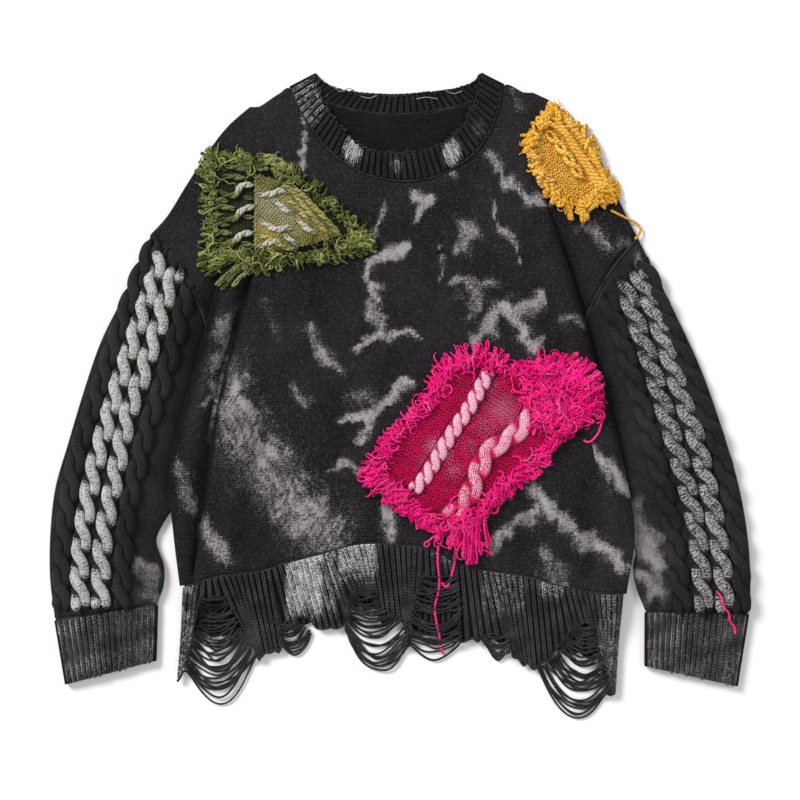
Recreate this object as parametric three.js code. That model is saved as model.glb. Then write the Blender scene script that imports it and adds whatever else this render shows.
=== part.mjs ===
// A distressed, darned wool pullover laid flat on its back on a table.
// Lengths are millimetres. +Z is up from the table, +Y runs from the hem to the neck, and +X is to the right
// as seen from above. The origin is on the table under the middle of the garment's outline.
// Each knitted piece is a wall of its own, with a narrow gap at every seam. Below the underarms the front panel
// turns back under itself, and above them it is pleated, so that the body's edges lie over the sleeves.
import * as THREE from "three";

const cloth = 2.6; // thickness of the plain knit
const ribCloth = 3.0; // thickness of the ribbed knit
const seamGap = 0.9; // between the edges of two pieces that are linked together
const armholeGap = 2.4; // between a sleeve's end and the body
const layerGap = 0.5; // between two layers that lie on each other
const backMid = cloth / 2; // height of the middle of the back panel's wall
const frontMid = cloth * 1.5 + layerGap; // the front panel's, where it lies on the back panel
const sleeveMid = 6.6; // the sleeve's upper wall, at its edges
const sleeveCrown = 1.2; // how much higher the sleeve's middle is than its edges
const cableRise = 5; // how far the cables stand out of the sleeve
const pleatMid = 11; // the turned-back layer, over the sleeve
const foldMid = 14.2; // the front panel along its folded edges
const creaseMid = 17.5; // the front panel along the tuck beside its left edge
const yarn = 4.2; // height of a fringe or a patch's lump of yarn

// Points are [x, y], from the hem upwards unless it says otherwise. Rails of one side share their places along
// the garment, point for point: hem, three more up to the underarm, and six from there to the shoulder.
const rightSide = {
  side: 1,
  fold: [[250, -216], [259, -150], [250, -85], [236, -22], [217, 40], [199, 106], [180, 165], [160, 218],
    [147, 268], [139, 344]],
  seam: [[240, -216], [239, -150], [216, -85], [190, -22], [192, 30], [202, 78], [216, 112], [236, 146],
    [252, 166], [265, 181]],
  depth: [16, 26, 40, 54, 46, 34, 20, 8, 2, 0],
  shoulder: [[139, 344], [168, 330], [192, 305], [213, 280], [237, 235], [265, 181]],
};
const leftSide = {
  side: -1,
  fold: [[-243, -207], [-250, -150], [-255, -85], [-243, -22], [-225, 40], [-208, 106], [-189, 168],
    [-174, 222], [-165, 275], [-158, 328]],
  seam: [[-236, -207], [-234, -150], [-220, -85], [-203, -22], [-205, 30], [-215, 82], [-229, 118],
    [-244, 148], [-262, 170], [-278, 185]],
  depth: [12, 26, 38, 46, 42, 32, 18, 6, 2, 0],
  shoulder: [[-158, 328], [-184, 307], [-207, 280], [-235, 241], [-258, 207], [-278, 185]],
};
const leftTuck = [[-230, -204], [-219, -140], [-212, -85], [-203, -22], [-189, 42], [-170, 110], [-155, 160],
  [-146, 215], [-141, 275], [-138, 340]];
const hemLine = [[-230, -204], [-204, -196], [-155, -190], [-127, -181], [-91, -172], [-43, -160], [6, -162],
  [36, -167], [62, -181], [90, -189], [146, -198], [179, -207], [224, -215], [250, -216]];
const frontNeck = [[-123, 349], [-110, 319], [-85, 284], [-52, 258], [-15, 246], [20, 245], [54, 255], [88, 280],
  [108, 315], [116, 352]];
const frontFreeEdge = [[-93, 365], [-89, 340], [-70, 309], [-45, 284], [-18, 276], [18, 277], [45, 285],
  [69, 304], [84, 332], [90, 365]];
const backNeck = [[-123, 349], [-100, 338], [-78, 331], [-45, 322], [-4, 319], [36, 322], [68, 329], [95, 340],
  [116, 352]];
const backFreeEdge = [[-93, 365], [-83, 355], [-60, 347], [-32, 344], [-4, 343], [26, 345], [55, 348], [79, 355],
  [90, 365]];

const rightSleeve = {
  side: 1,
  outer: [[265, 181], [286, 140], [308, 95], [336, 34], [360, -34], [379, -101], [389, -162], [391, -213],
    [389, -237]],
  inner: [[191, -22], [212, -62], [230, -104], [250, -146], [265, -170], [263, -187], [267, -211], [276, -235]],
  cuff: { topOuter: [389, -240], topInner: [276, -238], endOuter: [376, -320], endInner: [276, -298] },
};
const leftSleeve = {
  side: -1,
  outer: [[-279, 183], [-289, 152], [-314, 106], [-335, 63], [-353, 10], [-371, -51], [-385, -100], [-390.5, -151],
    [-390.5, -200], [-385, -244]],
  inner: [[-204, -22], [-225, -66], [-244, -106], [-266, -140], [-274, -160], [-266, -186], [-267, -208],
    [-273, -227]],
  cuff: { topOuter: [-385, -247], topInner: [-273, -230], endOuter: [-373, -318], endInner: [-275, -292] },
};

// The front hem rib: columns of [x at the top, x at the foot, y at the foot]. Where it has run into ladders the
// foot steps up.
const frontRib = [[-242, -249, -313], [-223, -240, -305], [-221, -223, -219], [-200, -193, -219],
  [-197, -159, -287], [-174, -154, -288], [-146, -132, -277], [-143, -127, -249], [-119, -102, -241],
  [-112, -93, -254], [-84, -62, -256], [-79, -56, -214], [-46, -31, -214], [-39, -25, -240], [-30, -18, -248],
  [-2, 5, -249], [4, 9, -273], [8, 11, -273], [14, 12, -240], [22, 17, -222], [26, 27, -197], [60, 64, -195],
  [64, 68, -270], [76, 87, -272], [82, 91, -262], [106, 124, -263], [109, 126, -287], [140, 150, -301],
  [160, 168, -290], [178, 188, -262], [184, 195, -250], [203, 213, -250], [206, 233, -327], [228, 236, -328],
  [249, 240, -329]];
const backRib = [[-233, -240, -262], [-150, -150, -264], [-60, -52, -232], [-20, -22, -232], [30, 34, -266],
  [120, 122, -270], [246, 236, -292]];

// What the loose ladder yarns of each run hang over, between a left and a right line from the rib downwards.
const ladders = {
  ladder_left: {
    left: [[-220, -222], [-237, -306], [-222, -340], [-206, -349]],
    right: [[-196, -222], [-162, -290], [-164, -308], [-180, -334], [-202, -349]],
  },
  ladder_small_left: {
    left: [[-124, -252], [-129, -280]],
    right: [[-104, -244], [-95, -258], [-103, -282]],
  },
  ladder_middle: {
    left: [[-53, -217], [-55, -250], [-46, -290], [-26, -303]],
    right: [[-35, -217], [-31, -250], [-18, -253], [3, -253], [4, -276], [-10, -296], [-22, -303]],
  },
  ladder_patch: {
    left: [[30, -199], [19, -228], [15, -252], [15, -282], [30, -294]],
    right: [[61, -199], [65, -250], [65, -274], [46, -294]],
  },
  ladder_small_right: {
    left: [[94, -265], [90, -276], [99, -291]],
    right: [[121, -266], [123, -284], [112, -292]],
  },
  ladder_right: {
    left: [[197, -253], [191, -264], [171, -294], [154, -305], [156, -332], [170, -353], [188, -366]],
    right: [[210, -253], [217, -280], [228, -325], [224, -336], [212, -350], [196, -366]],
  },
};

const olive = {
  top: [[-212, 272], [-150, 262], [-100, 236], [-46, 184]],
  bottom: [[-210, 161], [-160, 156], [-100, 160], [-46, 176]],
  reach: [[-232, 250], [-222, 280], [-190, 282], [-140, 275], [-88, 245], [-25, 172], [-40, 158], [-100, 145],
    [-160, 120], [-205, 108], [-228, 140], [-226, 200]],
};
const oliveFlap = {
  top: [[-162, 252], [-119, 238], [-96, 217], [-70, 188]],
  bottom: [[-162, 164], [-140, 166], [-105, 172], [-70, 182]],
};
const magenta = {
  top: [[-30, -78], [-3, -36], [31, -2], [56, 35], [90, 46]],
  bottom: [[45, -144], [82, -132], [106, -104], [158, -62], [190, -28]],
  left: [[45, -144], [12, -124], [-13, -96], [-30, -78]],
  right: [[190, -28], [208, 8], [187, 34], [134, 32], [90, 46]],
  reach: [[-41, -70], [-12, -34], [20, -2], [42, 42], [92, 66], [134, 46], [190, 54], [228, 26], [224, -12],
    [170, -50], [166, -74], [112, -114], [90, -140], [96, -176], [66, -168], [32, -152], [-4, -122],
    [-40, -96]],
};
const yellow = {
  top: [[168, 322], [200, 298], [217, 272], [228, 240]],
  bottom: [[145, 284], [160, 252], [178, 226], [198, 216]],
  reach: [[170, 337], [214, 302], [226, 272], [250, 226], [226, 214], [200, 198], [172, 214], [150, 252],
    [133, 286], [150, 308]],
};
// Loose tails of yarn, from where they leave the cloth to their free ends.
const tails = {
  magenta_tail: [[43, -163], [42, -180], [44, -200], [43, -215], [39, -232], [41, -250], [45, -268], [48, -285]],
  cuff_tail: [[352, -212], [357, -224], [363, -238], [366, -252]],
  yellow_tail: [[236, 212], [250, 205], [265, 198], [270, 190], [263, 180]],
};
const tailRadius = 1.4;

const at = ([x, y], z = 0) => new THREE.Vector3(x, y, z);
const mix = (a, b, t) => a + (b - a) * t;
const smooth = (from, to, x) => THREE.MathUtils.smoothstep(x, from, to);
// A smooth line through points, as a function of 0 to 1. Its points are evenly spread over 0 to 1.
const rail = (points) => {
  const curve = new THREE.CatmullRomCurve3(points.map((p) => at(p)));
  return (t) => curve.getPoint(THREE.MathUtils.clamp(t, 0, 1));
};
// The same line with 0 to 1 spread evenly along its length.
const evenRail = (points) => {
  const curve = new THREE.CatmullRomCurve3(points.map((p) => at(p)));
  return (t) => curve.getPointAt(THREE.MathUtils.clamp(t, 0, 1));
};
// Straight from point to point.
const brokenRail = (points) => {
  const curve = new THREE.CatmullRomCurve3(points.map((p) => at(p)), false, "catmullrom", 0);
  return (t) => curve.getPointAt(THREE.MathUtils.clamp(t, 0, 1));
};
const numberRail = (numbers) => {
  const curve = new THREE.CatmullRomCurve3(numbers.map((n, i) => new THREE.Vector3(i, n, 0)));
  return (t) => curve.getPoint(THREE.MathUtils.clamp(t, 0, 1)).y;
};

// The surface that fills four lines, as a function of u across and v up.
function patchBetween({ left, right, bottom, top }) {
  const corners = [left(0), right(0), left(1), right(1)];
  return (u, v) => {
    const across = left(v).lerp(right(v), u);
    const up = bottom(u).lerp(top(u), v);
    const flat = corners[0].clone().lerp(corners[1], u).lerp(corners[2].clone().lerp(corners[3], u), v);
    return across.add(up).sub(flat);
  };
}

// A closed wall whose middle surface is a grid of points: grid[row][column], where columns may run round in a ring.
// raise(row, column) adds to its outer face only. With level it is thickened straight up and down.
function wall(grid, { thickness = cloth, ring = false, level = false, raise = () => 0 } = {}) {
  const nRows = grid.length;
  const nCols = grid[0].length;
  const point = (j, i) => grid[Math.min(Math.max(j, 0), nRows - 1)][
    ring ? (i + nCols) % nCols : Math.min(Math.max(i, 0), nCols - 1)];
  const positions = [];
  const place = (j, i, side) => {
    const along = point(j, i + 1).clone().sub(point(j, i - 1));
    const up = point(j + 1, i).clone().sub(point(j - 1, i));
    const normal = level ? new THREE.Vector3(0, 0, Math.sign(along.cross(up).z)) : along.cross(up).normalize();
    const offset = side > 0 ? thickness / 2 + raise(j, i) : -thickness / 2;
    positions.push(...point(j, i).clone().addScaledVector(normal, offset).toArray());
  };
  for (const side of [1, -1]) {
    for (let j = 0; j < nRows; j++) {
      for (let i = 0; i < nCols; i++) place(j, i, side);
    }
  }
  const outer = (j, i) => j * nCols + (i % nCols);
  const inner = (j, i) => nRows * nCols + outer(j, i);
  const index = [];
  const quad = (a, b, c, d) => index.push(a, b, c, a, c, d);
  const lastCol = ring ? nCols : nCols - 1;
  for (let j = 0; j < nRows - 1; j++) {
    for (let i = 0; i < lastCol; i++) {
      quad(outer(j, i), outer(j, i + 1), outer(j + 1, i + 1), outer(j + 1, i));
      quad(inner(j, i), inner(j + 1, i), inner(j + 1, i + 1), inner(j, i + 1));
    }
    if (!ring) {
      quad(outer(j, 0), outer(j + 1, 0), inner(j + 1, 0), inner(j, 0));
      quad(outer(j + 1, lastCol), outer(j, lastCol), inner(j, lastCol), inner(j + 1, lastCol));
    }
  }
  for (let i = 0; i < lastCol; i++) {
    quad(outer(0, i + 1), outer(0, i), inner(0, i), inner(0, i + 1));
    quad(outer(nRows - 1, i), outer(nRows - 1, i + 1), inner(nRows - 1, i + 1), inner(nRows - 1, i));
  }
  return new THREE.BufferGeometry()
    .setAttribute("position", new THREE.Float32BufferAttribute(positions, 3))
    .setIndex(index);
}

const knit = {
  body: { color: 0x2b2b2d, roughness: 0.92, metalness: 0 },
  rib: { color: 0x2a2b2c, roughness: 0.92, metalness: 0 },
  sleeve: { color: 0x3a3838, roughness: 0.92, metalness: 0 },
  ladder: { color: 0x2c2d2f, roughness: 0.9, metalness: 0 },
  olive: { color: 0x6f7a3a, roughness: 0.95, metalness: 0 },
  magenta: { color: 0xd81b72, roughness: 0.9, metalness: 0 },
  yellow: { color: 0xe0a22c, roughness: 0.9, metalness: 0 },
};
const sweater = new THREE.Group();
const add = (name, geometry, finish) => {
  const mesh = new THREE.Mesh(geometry, new THREE.MeshStandardMaterial(knit[finish]));
  mesh.name = name;
  sweater.add(mesh);
  return mesh;
};
const steps = (count, from = 0, to = 1) =>
  Array.from({ length: count + 1 }, (_, i) => mix(from, to, i / count));

// How far each height or depth of the side pleats has come in at v, from hem to shoulder.
const pleatHeight = (v) => 1 - smooth(0.82, 1, v);
const pleatOverlap = (v) => 1 - smooth(0.64, 0.84, v);
const shoulderFall = (v) => smooth(0.88, 1, v); // the front comes down to the back along the shoulders
const foldHeight = (v) => mix(foldMid, frontMid, smooth(0.62, 1, v));
const seamHeight = (v) => frontMid + 2.4 * Math.sin(Math.PI * smooth(0.333, 1, v));

// One side of the front panel at v, from its fold outwards: the turn under, the layer that runs back, the turn
// out again, and the layer that ends at the armhole or side seam.
function sideOf({ side, fold, seam, depth, shoulder }) {
  const foldRail = rail(fold);
  const seamRail = rail(seam);
  const depthRail = numberRail(depth);
  const firstTurn = (foldMid - pleatMid) / 2;
  const secondTurn = (pleatMid - frontMid) / 2;
  const turns = (v) => {
    const overlap = pleatOverlap(v);
    const height = pleatHeight(v);
    const reach = depthRail(v);
    const spread = 1.6; // between the same points where the pleat has opened out
    const angles = [0, 1, 2, 3].map((k) => (k * Math.PI) / 3);
    const profile = [
      ...angles.slice(1).map((angle) => [firstTurn * Math.sin(angle), firstTurn * (Math.cos(angle) - 1)]),
      ...angles.map((angle) => [
        -reach - secondTurn * Math.sin(angle),
        -2 * firstTurn + secondTurn * (Math.cos(angle) - 1),
      ]),
    ];
    const from = foldRail(v);
    const top = foldHeight(v);
    const fall = (top - mix(frontMid, seamHeight(v), 0.3)) / (foldMid - frontMid);
    return profile.map(([x, z], k) => new THREE.Vector3(
      from.x + side * mix(spread * (k + 1), x, overlap), from.y, top + z * height * fall));
  };
  const innerEnd = (v) => turns(v).at(-1);
  const shoulderRail = evenRail(shoulder);
  const flatten = (p) => new THREE.Vector3(p.x, p.y, 0);
  const start = flatten(innerEnd(1));
  const outerLayer = patchBetween({
    left: (v) => flatten(innerEnd(v)),
    right: seamRail,
    bottom: (u) => flatten(innerEnd(0)).lerp(seamRail(0), u),
    top: (u) => shoulderRail(u).add(start.clone().sub(shoulderRail(0)).multiplyScalar(1 - u)),
  });
  return {
    foldRail, seamRail,
    points(v) {
      const out = turns(v);
      const last = out.at(-1);
      for (const u of [0.33, 0.67, 1]) {
        const p = outerLayer(u, v);
        p.z = mix(mix(last.z, seamHeight(v), smooth(0, 1, u)), frontMid, shoulderFall(v));
        out.push(p);
      }
      return out;
    },
  };
}

const right = sideOf(rightSide);
const left = sideOf(leftSide);
const tuckRail = rail(leftTuck);
const frontTop = evenRail([leftTuck.at(-1), ...frontNeck, rightSide.fold.at(-1)]);
const frontMiddle = patchBetween({
  left: tuckRail, right: right.foldRail, bottom: evenRail(hemLine), top: frontTop,
});

// Height of the middle of the front panel between the tuck and the right fold.
function frontHeight(p, v) {
  const toRight = right.foldRail(v).x - p.x;
  const toLeft = p.x - tuckRail(v).x;
  const near = (distance, width) => Math.exp(-((distance / width) ** 2));
  const tuck = mix(creaseMid, frontMid, smooth(0.62, 0.95, v));
  const soft = 1.4 * Math.exp(-(((p.x - 60) / 34) ** 2)) + 1.1 * Math.exp(-(((p.x + 70) / 30) ** 2));
  const z = frontMid + (foldHeight(v) - frontMid) * near(toRight, 62) + (tuck - frontMid) * near(toLeft, 70)
    + soft * (1 - v);
  return mix(z, frontMid, shoulderFall(v));
}

// Where along a line, from 0 to 1, its x comes to a value.
function placeOf(line, x) {
  let t = 0.5;
  for (let step = 0.25; step > 1e-5; step /= 2) t += line(t).x < x ? step : -step;
  return t;
}
const neckSteps = 12; // the front panel and the neckband share these along their seam
const acrossFront = [0,
  ...steps(neckSteps, placeOf(frontTop, frontNeck[0][0]), placeOf(frontTop, frontNeck.at(-1)[0])), 1];
const frontGrid = steps(12).map((v) => {
  const edge = left.foldRail(v);
  const tuck = tuckRail(v);
  const strip = [0, 0.45, 0.85].map((u) => {
    const p = edge.clone().lerp(tuck, u);
    p.z = mix(foldHeight(v), frontMid, shoulderFall(v));
    return p;
  });
  const middle = acrossFront.map((u) => {
    const p = frontMiddle(u, v);
    p.z = frontHeight(p, v);
    return p;
  });
  return [...left.points(v).reverse(), ...strip, ...middle, ...right.points(v)];
});
const front = add("front_panel", wall(frontGrid), "body");

// The back panel, flat on the table, with the same seams.
const backTop = evenRail([...leftSide.shoulder.slice().reverse(), ...backNeck, ...rightSide.shoulder]);
const backShape = patchBetween({
  left: left.seamRail,
  right: right.seamRail,
  bottom: evenRail([leftSide.seam[0], ...hemLine.slice(1, -1), rightSide.seam[0]]),
  top: backTop,
});
const backNeckSteps = 8; // shared with the back half of the neckband
const [neckFrom, neckTo] = [placeOf(backTop, backNeck[0][0]), placeOf(backTop, backNeck.at(-1)[0])];
const acrossBack = [...steps(4, 0, neckFrom), ...steps(backNeckSteps, neckFrom, neckTo).slice(1),
  ...steps(4, neckTo, 1).slice(1)];
const backGrid = steps(11).map((v) => acrossBack.map((u) => backShape(u, v).setZ(backMid)));
add("back_panel", wall(backGrid), "body");

// A sleeve or a cuff: a flattened ring at each place along it, upper wall first. plan(w, s) is its outline on the
// table, w across it from its outer edge and s along it.
function flatTube({ side, plan, upper, places, across, raise = () => 0, thickness = cloth }) {
  const count = across(0).length;
  const lower = [0.97, 0.65, 0.35, 0.03];
  const turn = (a, b, centre) => {
    const middle = a.clone().add(b).multiplyScalar(0.5);
    const radius = Math.abs(a.z - b.z) / 2;
    const outward = middle.clone().sub(centre).setZ(0).normalize();
    return [-1, 0, 1].map((k) => {
      const angle = (k * Math.PI) / 4;
      const p = middle.clone().addScaledVector(outward, radius * Math.cos(angle));
      return p.setZ(middle.z - Math.sign(a.z - b.z) * radius * Math.sin(angle));
    });
  };
  const grid = places.map((s) => {
    const over = across(s).map((w) => plan(w, s).setZ(upper(w, s)));
    const under = lower.map((w) => plan(w, s).setZ(thickness / 2));
    const centre = plan(0.5, s);
    const ring = [...over, ...turn(over.at(-1), under[0], centre), ...under, ...turn(under.at(-1), over[0], centre)];
    return side > 0 ? ring : ring.reverse();
  });
  const column = (i) => (side > 0 ? i : grid[0].length - 1 - i);
  return wall(grid, { thickness, ring: true, raise: (j, i) => (column(i) < count ? raise(j, column(i)) : 0) });
}

function addSleeve(word, { side, outer, inner, cuff }, body) {
  // The armhole from the shoulder to the underarm, a seam's gap outside the body's edge.
  const underarm = 0.39;
  const armhole = (w) => {
    const v = mix(1, underarm, w);
    const along = body.seamRail(Math.min(v + 0.01, 1)).sub(body.seamRail(v - 0.01)).normalize();
    return body.seamRail(v).add(at([side * along.y, -side * along.x]).multiplyScalar(armholeGap));
  };
  const outerRail = rail([armhole(0).toArray(), ...outer.slice(1)]);
  const innerRail = rail([armhole(1).toArray(), ...inner.slice(1)]);
  const plan = patchBetween({
    left: outerRail, right: innerRail, bottom: armhole, top: (w) => outerRail(1).lerp(innerRail(1), w),
  });
  const cablePlaces = [0, 1, 2, 3].flatMap((k) => [k + 0.12, k + 0.5, k + 0.88]).map((k) => k / 4);
  const cableZone = (s) => mix(0.42, 0.72, smooth(0, 0.8, s));
  add(`${word}_sleeve`, flatTube({
    side, plan, places: steps(9),
    upper: (w, s) => mix(seamHeight(mix(1, underarm, w)), sleeveMid + sleeveCrown * Math.sin(Math.PI * w),
      smooth(0, 0.15, s)),
    across: (s) => [0.02, ...cablePlaces.map((k) => 0.03 + cableZone(s) * k), 0.84, 0.97],
    raise: (j, i) => (i > 0 && i < 13 && i % 3 === 2 ? cableRise : 0) * (j === 0 ? 0.3 : 1),
  }), "sleeve");
  add(`${word}_cuff`, flatTube({
    side, thickness: ribCloth, places: steps(3),
    plan: patchBetween({
      left: rail([cuff.topOuter, cuff.endOuter]),
      right: rail([cuff.topInner, cuff.endInner]),
      bottom: rail([cuff.topOuter, cuff.topInner]),
      top: rail([cuff.endOuter, cuff.endInner]),
    }),
    upper: (w) => 7 + 0.6 * Math.sin(Math.PI * w),
    across: () => [0.03, 0.25, 0.5, 0.75, 0.97],
  }), "rib");
}
addSleeve("right", rightSleeve, right);
addSleeve("left", leftSleeve, left);

// The neckband: a ring folded flat at the two shoulders, its front half over its back half.
const bandFront = 5.4; // height of the middle of the front half's wall
const bandBack = ribCloth / 2;
const bandGap = (line, away) => (t) => {
  const p = line(t);
  const along = line(Math.min(t + 0.02, 1)).sub(line(Math.max(t - 0.02, 0))).normalize();
  return p.add(at([-along.y, along.x]).multiplyScalar(away));
};
const frontSeam = bandGap(evenRail(frontNeck), seamGap * 2.4);
const frontFree = evenRail(frontFreeEdge);
const backSeam = bandGap(evenRail(backNeck), seamGap * 2.4);
const backFree = evenRail(backFreeEdge);
const bandRing = (row) => {
  const over = steps(neckSteps).map((t) => frontSeam(t).lerp(frontFree(t), row).setZ(bandFront));
  const under = steps(backNeckSteps, 1, 0).map((t) => backSeam(t).lerp(backFree(t), row).setZ(bandBack));
  const turn = (a, b, outward) => [-1, 0, 1].map((k) => {
    const angle = (k * Math.PI) / 4;
    const middle = a.clone().add(b).multiplyScalar(0.5);
    const radius = (bandFront - bandBack) / 2;
    return middle.add(new THREE.Vector3(outward * radius * Math.cos(angle), 0,
      -Math.sign(a.z - b.z) * radius * Math.sin(angle)));
  });
  return [...over, ...turn(over.at(-1), under[0], 1), ...under, ...turn(under.at(-1), over[0], -1)];
};
add("neckband", wall(steps(3).map(bandRing), { thickness: ribCloth, ring: true }), "rib");

// Heights of whatever already lies at a place on the table.
const caster = new THREE.Raycaster();
function topOf(x, y, meshes = sweater.children) {
  caster.set(new THREE.Vector3(x, y, 200), new THREE.Vector3(0, 0, -1));
  const hit = caster.intersectObjects(meshes, false)[0];
  return hit ? hit.point.z : 0;
}
// The highest of them within reach of a point, so that what is laid on them clears them between its points too.
function restOn(p, reach, meshes) {
  const heights = [topOf(p.x, p.y, meshes)];
  for (let k = 0; k < 12; k++) {
    const angle = (k * Math.PI) / 6;
    for (const r of [reach / 3, (reach * 2) / 3, reach]) {
      heights.push(topOf(p.x + r * Math.cos(angle), p.y + r * Math.sin(angle), meshes));
    }
  }
  return Math.max(...heights);
}

// The hem ribs hang from the panels' lower edges. The front one leaves its panel at the panel's height and comes
// down onto the back one.
function edgeAt(edge, x) {
  const i = Math.min(Math.max(edge.findIndex((p) => p.x > x), 1), edge.length - 1);
  const [a, b] = [edge[i - 1], edge[i]];
  return a.clone().lerp(b, THREE.MathUtils.clamp((x - a.x) / (b.x - a.x), 0, 1));
}
const ribFront = ribCloth * 1.5 + layerGap; // the middle of the front rib's wall, on the back rib
const ribFall = 62; // how far down it takes to get there
function ribGrid(columns, edge, ts, rest) {
  return ts.map((t) => columns.map(([top, footX, footY]) => {
    const from = edgeAt(edge, top).sub(at([0, seamGap * 2]));
    const p = from.clone().lerp(at([footX, footY]), t);
    const fallen = smooth(0, ribFall, Math.hypot(p.x - from.x, p.y - from.y));
    return p.setZ(mix(Math.max(from.z, rest), rest, fallen));
  }));
}
const backColumns = backGrid[0].map(({ x }) => {
  const i = Math.min(Math.max(backRib.findIndex(([top]) => top > x), 1), backRib.length - 1);
  const [a, b] = [backRib[i - 1], backRib[i]];
  const u = THREE.MathUtils.clamp((x - a[0]) / (b[0] - a[0]), 0, 1);
  return [x, mix(a[1], b[1], u), mix(a[2], b[2], u)];
});
add("back_hem_rib", wall(ribGrid(backColumns, backGrid[0], steps(2, 1, 0), ribCloth / 2),
  { thickness: ribCloth, level: true }), "rib");
const frontLower = frontGrid[0].slice(left.points(0).length, -right.points(0).length);
add("front_hem_rib", wall(ribGrid(frontRib, frontLower, steps(5, 1, 0), ribFront),
  { thickness: ribCloth, level: true }), "rib");

// Loose yarns of the ladders, as plain slabs lying on whatever is under them.
const under = sweater.children.filter((mesh) => mesh.name.startsWith("back"));
for (const [name, lines] of Object.entries(ladders)) {
  const leftLine = brokenRail(lines.left);
  const rightLine = brokenRail(lines.right);
  const grid = steps(6, 1, 0).map((t) => steps(3).map((u) => {
    const p = leftLine(t).lerp(rightLine(t), u);
    return p.setZ(restOn(p, 40, under) + layerGap + ribCloth / 2);
  }));
  add(name, wall(grid, { thickness: ribCloth, level: true }), "ladder");
}

// A patch lies on whatever is under it, and its fringe is a plain border from just outside the patch's edge to as
// far as the fringe reaches.
const patchCloth = 3.4;
function addPatch(name, { top, bottom, left: leftEdge, right: rightEdge }, finish) {
  const shape = patchBetween({
    left: evenRail(leftEdge ?? [bottom[0], top[0]]),
    right: evenRail(rightEdge ?? [bottom.at(-1), top.at(-1)]),
    bottom: evenRail(bottom),
    top: evenRail(top),
  });
  const grid = steps(6).map((v) => steps(7).map((u) => shape(u, v)));
  const cell = grid[0][0].distanceTo(grid[1][1]);
  const laid = grid.map((row) => row.map((p) => p.clone().setZ(restOn(p, cell) + layerGap + patchCloth / 2)));
  add(name, wall(laid, { thickness: patchCloth, level: true }), finish);
  return [
    ...grid[0], ...grid.slice(1).map((row) => row.at(-1)),
    ...grid.at(-1).slice(0, -1).reverse(), ...grid.slice(1, -1).map((row) => row[0]).reverse(),
  ];
}
// How far a closed outline reaches from a centre towards a direction.
function reachOf(outline, centre, direction) {
  let reach = 0;
  outline.forEach((a, i) => {
    const edge = outline[(i + 1) % outline.length].clone().sub(a);
    const toA = a.clone().sub(centre);
    const cross = direction.x * edge.y - direction.y * edge.x;
    if (Math.abs(cross) < 1e-9) return;
    const along = (toA.x * edge.y - toA.y * edge.x) / cross;
    const onEdge = (toA.x * direction.y - toA.y * direction.x) / cross;
    if (onEdge >= 0 && onEdge <= 1 && along > reach) reach = along;
  });
  return reach;
}
function addFringe(name, edge, reach, below, finish) {
  const centre = edge.reduce((sum, p) => sum.add(p), at([0, 0])).divideScalar(edge.length);
  const outline = new THREE.CatmullRomCurve3(reach.map((p) => at(p)), true).getPoints(120);
  const grid = [1, 0.5, 0].map((t) => edge.map((p) => {
    const direction = p.clone().sub(centre).setZ(0);
    const inner = direction.length() + 2;
    const outer = Math.max(reachOf(outline, centre, direction.normalize()), inner + 5);
    const q = centre.clone().addScaledVector(direction, mix(inner, outer, t));
    return q.setZ(restOn(q, 30, below) + layerGap * 1.6 + yarn / 2);
  }));
  add(name, wall(grid, { thickness: yarn, ring: true, level: true }), finish);
}
for (const [word, pieces] of Object.entries({ olive, magenta, yellow })) {
  const below = sweater.children.slice();
  const edge = addPatch(`${word}_patch`, pieces, word);
  addFringe(`${word}_fringe`, edge, pieces.reach, below, word);
}
addPatch("olive_flap", oliveFlap, "olive");

// Loose tails, each a round cord on whatever is under it.
const section = new THREE.Shape().absarc(0, 0, tailRadius, 0, Math.PI * 2);
for (const [name, points] of Object.entries(tails)) {
  const plan = evenRail(points);
  const below = sweater.children.filter((mesh) => !mesh.name.endsWith("_tail"));
  const route = steps(12).map(plan).map((p) => p.setZ(restOn(p, 6, below) + layerGap + tailRadius));
  const geometry = new THREE.ExtrudeGeometry(section, {
    steps: 12, curveSegments: 4, bevelEnabled: false, extrudePath: new THREE.CatmullRomCurve3(route),
  });
  add(name, geometry, name.startsWith("yellow") ? "yellow" : "magenta");
}

export default sweater;
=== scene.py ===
import math
import random
import bpy
import numpy as np
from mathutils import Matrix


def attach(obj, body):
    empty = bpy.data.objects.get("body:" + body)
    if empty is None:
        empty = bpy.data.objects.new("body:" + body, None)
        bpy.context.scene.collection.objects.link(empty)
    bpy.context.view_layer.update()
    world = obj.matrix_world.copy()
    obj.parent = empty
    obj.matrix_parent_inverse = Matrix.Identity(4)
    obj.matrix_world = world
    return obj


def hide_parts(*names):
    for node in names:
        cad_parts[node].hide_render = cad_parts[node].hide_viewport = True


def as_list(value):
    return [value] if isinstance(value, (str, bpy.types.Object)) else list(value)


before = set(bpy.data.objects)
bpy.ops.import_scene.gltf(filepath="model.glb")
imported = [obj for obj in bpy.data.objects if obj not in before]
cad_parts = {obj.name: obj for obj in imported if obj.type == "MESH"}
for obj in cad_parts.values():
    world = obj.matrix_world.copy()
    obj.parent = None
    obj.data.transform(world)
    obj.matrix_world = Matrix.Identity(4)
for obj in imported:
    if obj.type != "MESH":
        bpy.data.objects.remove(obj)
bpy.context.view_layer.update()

# Plans are in millimetres, as a cutter would note them, and every mesh is in metres. +Y is from hem to neck.

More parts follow.
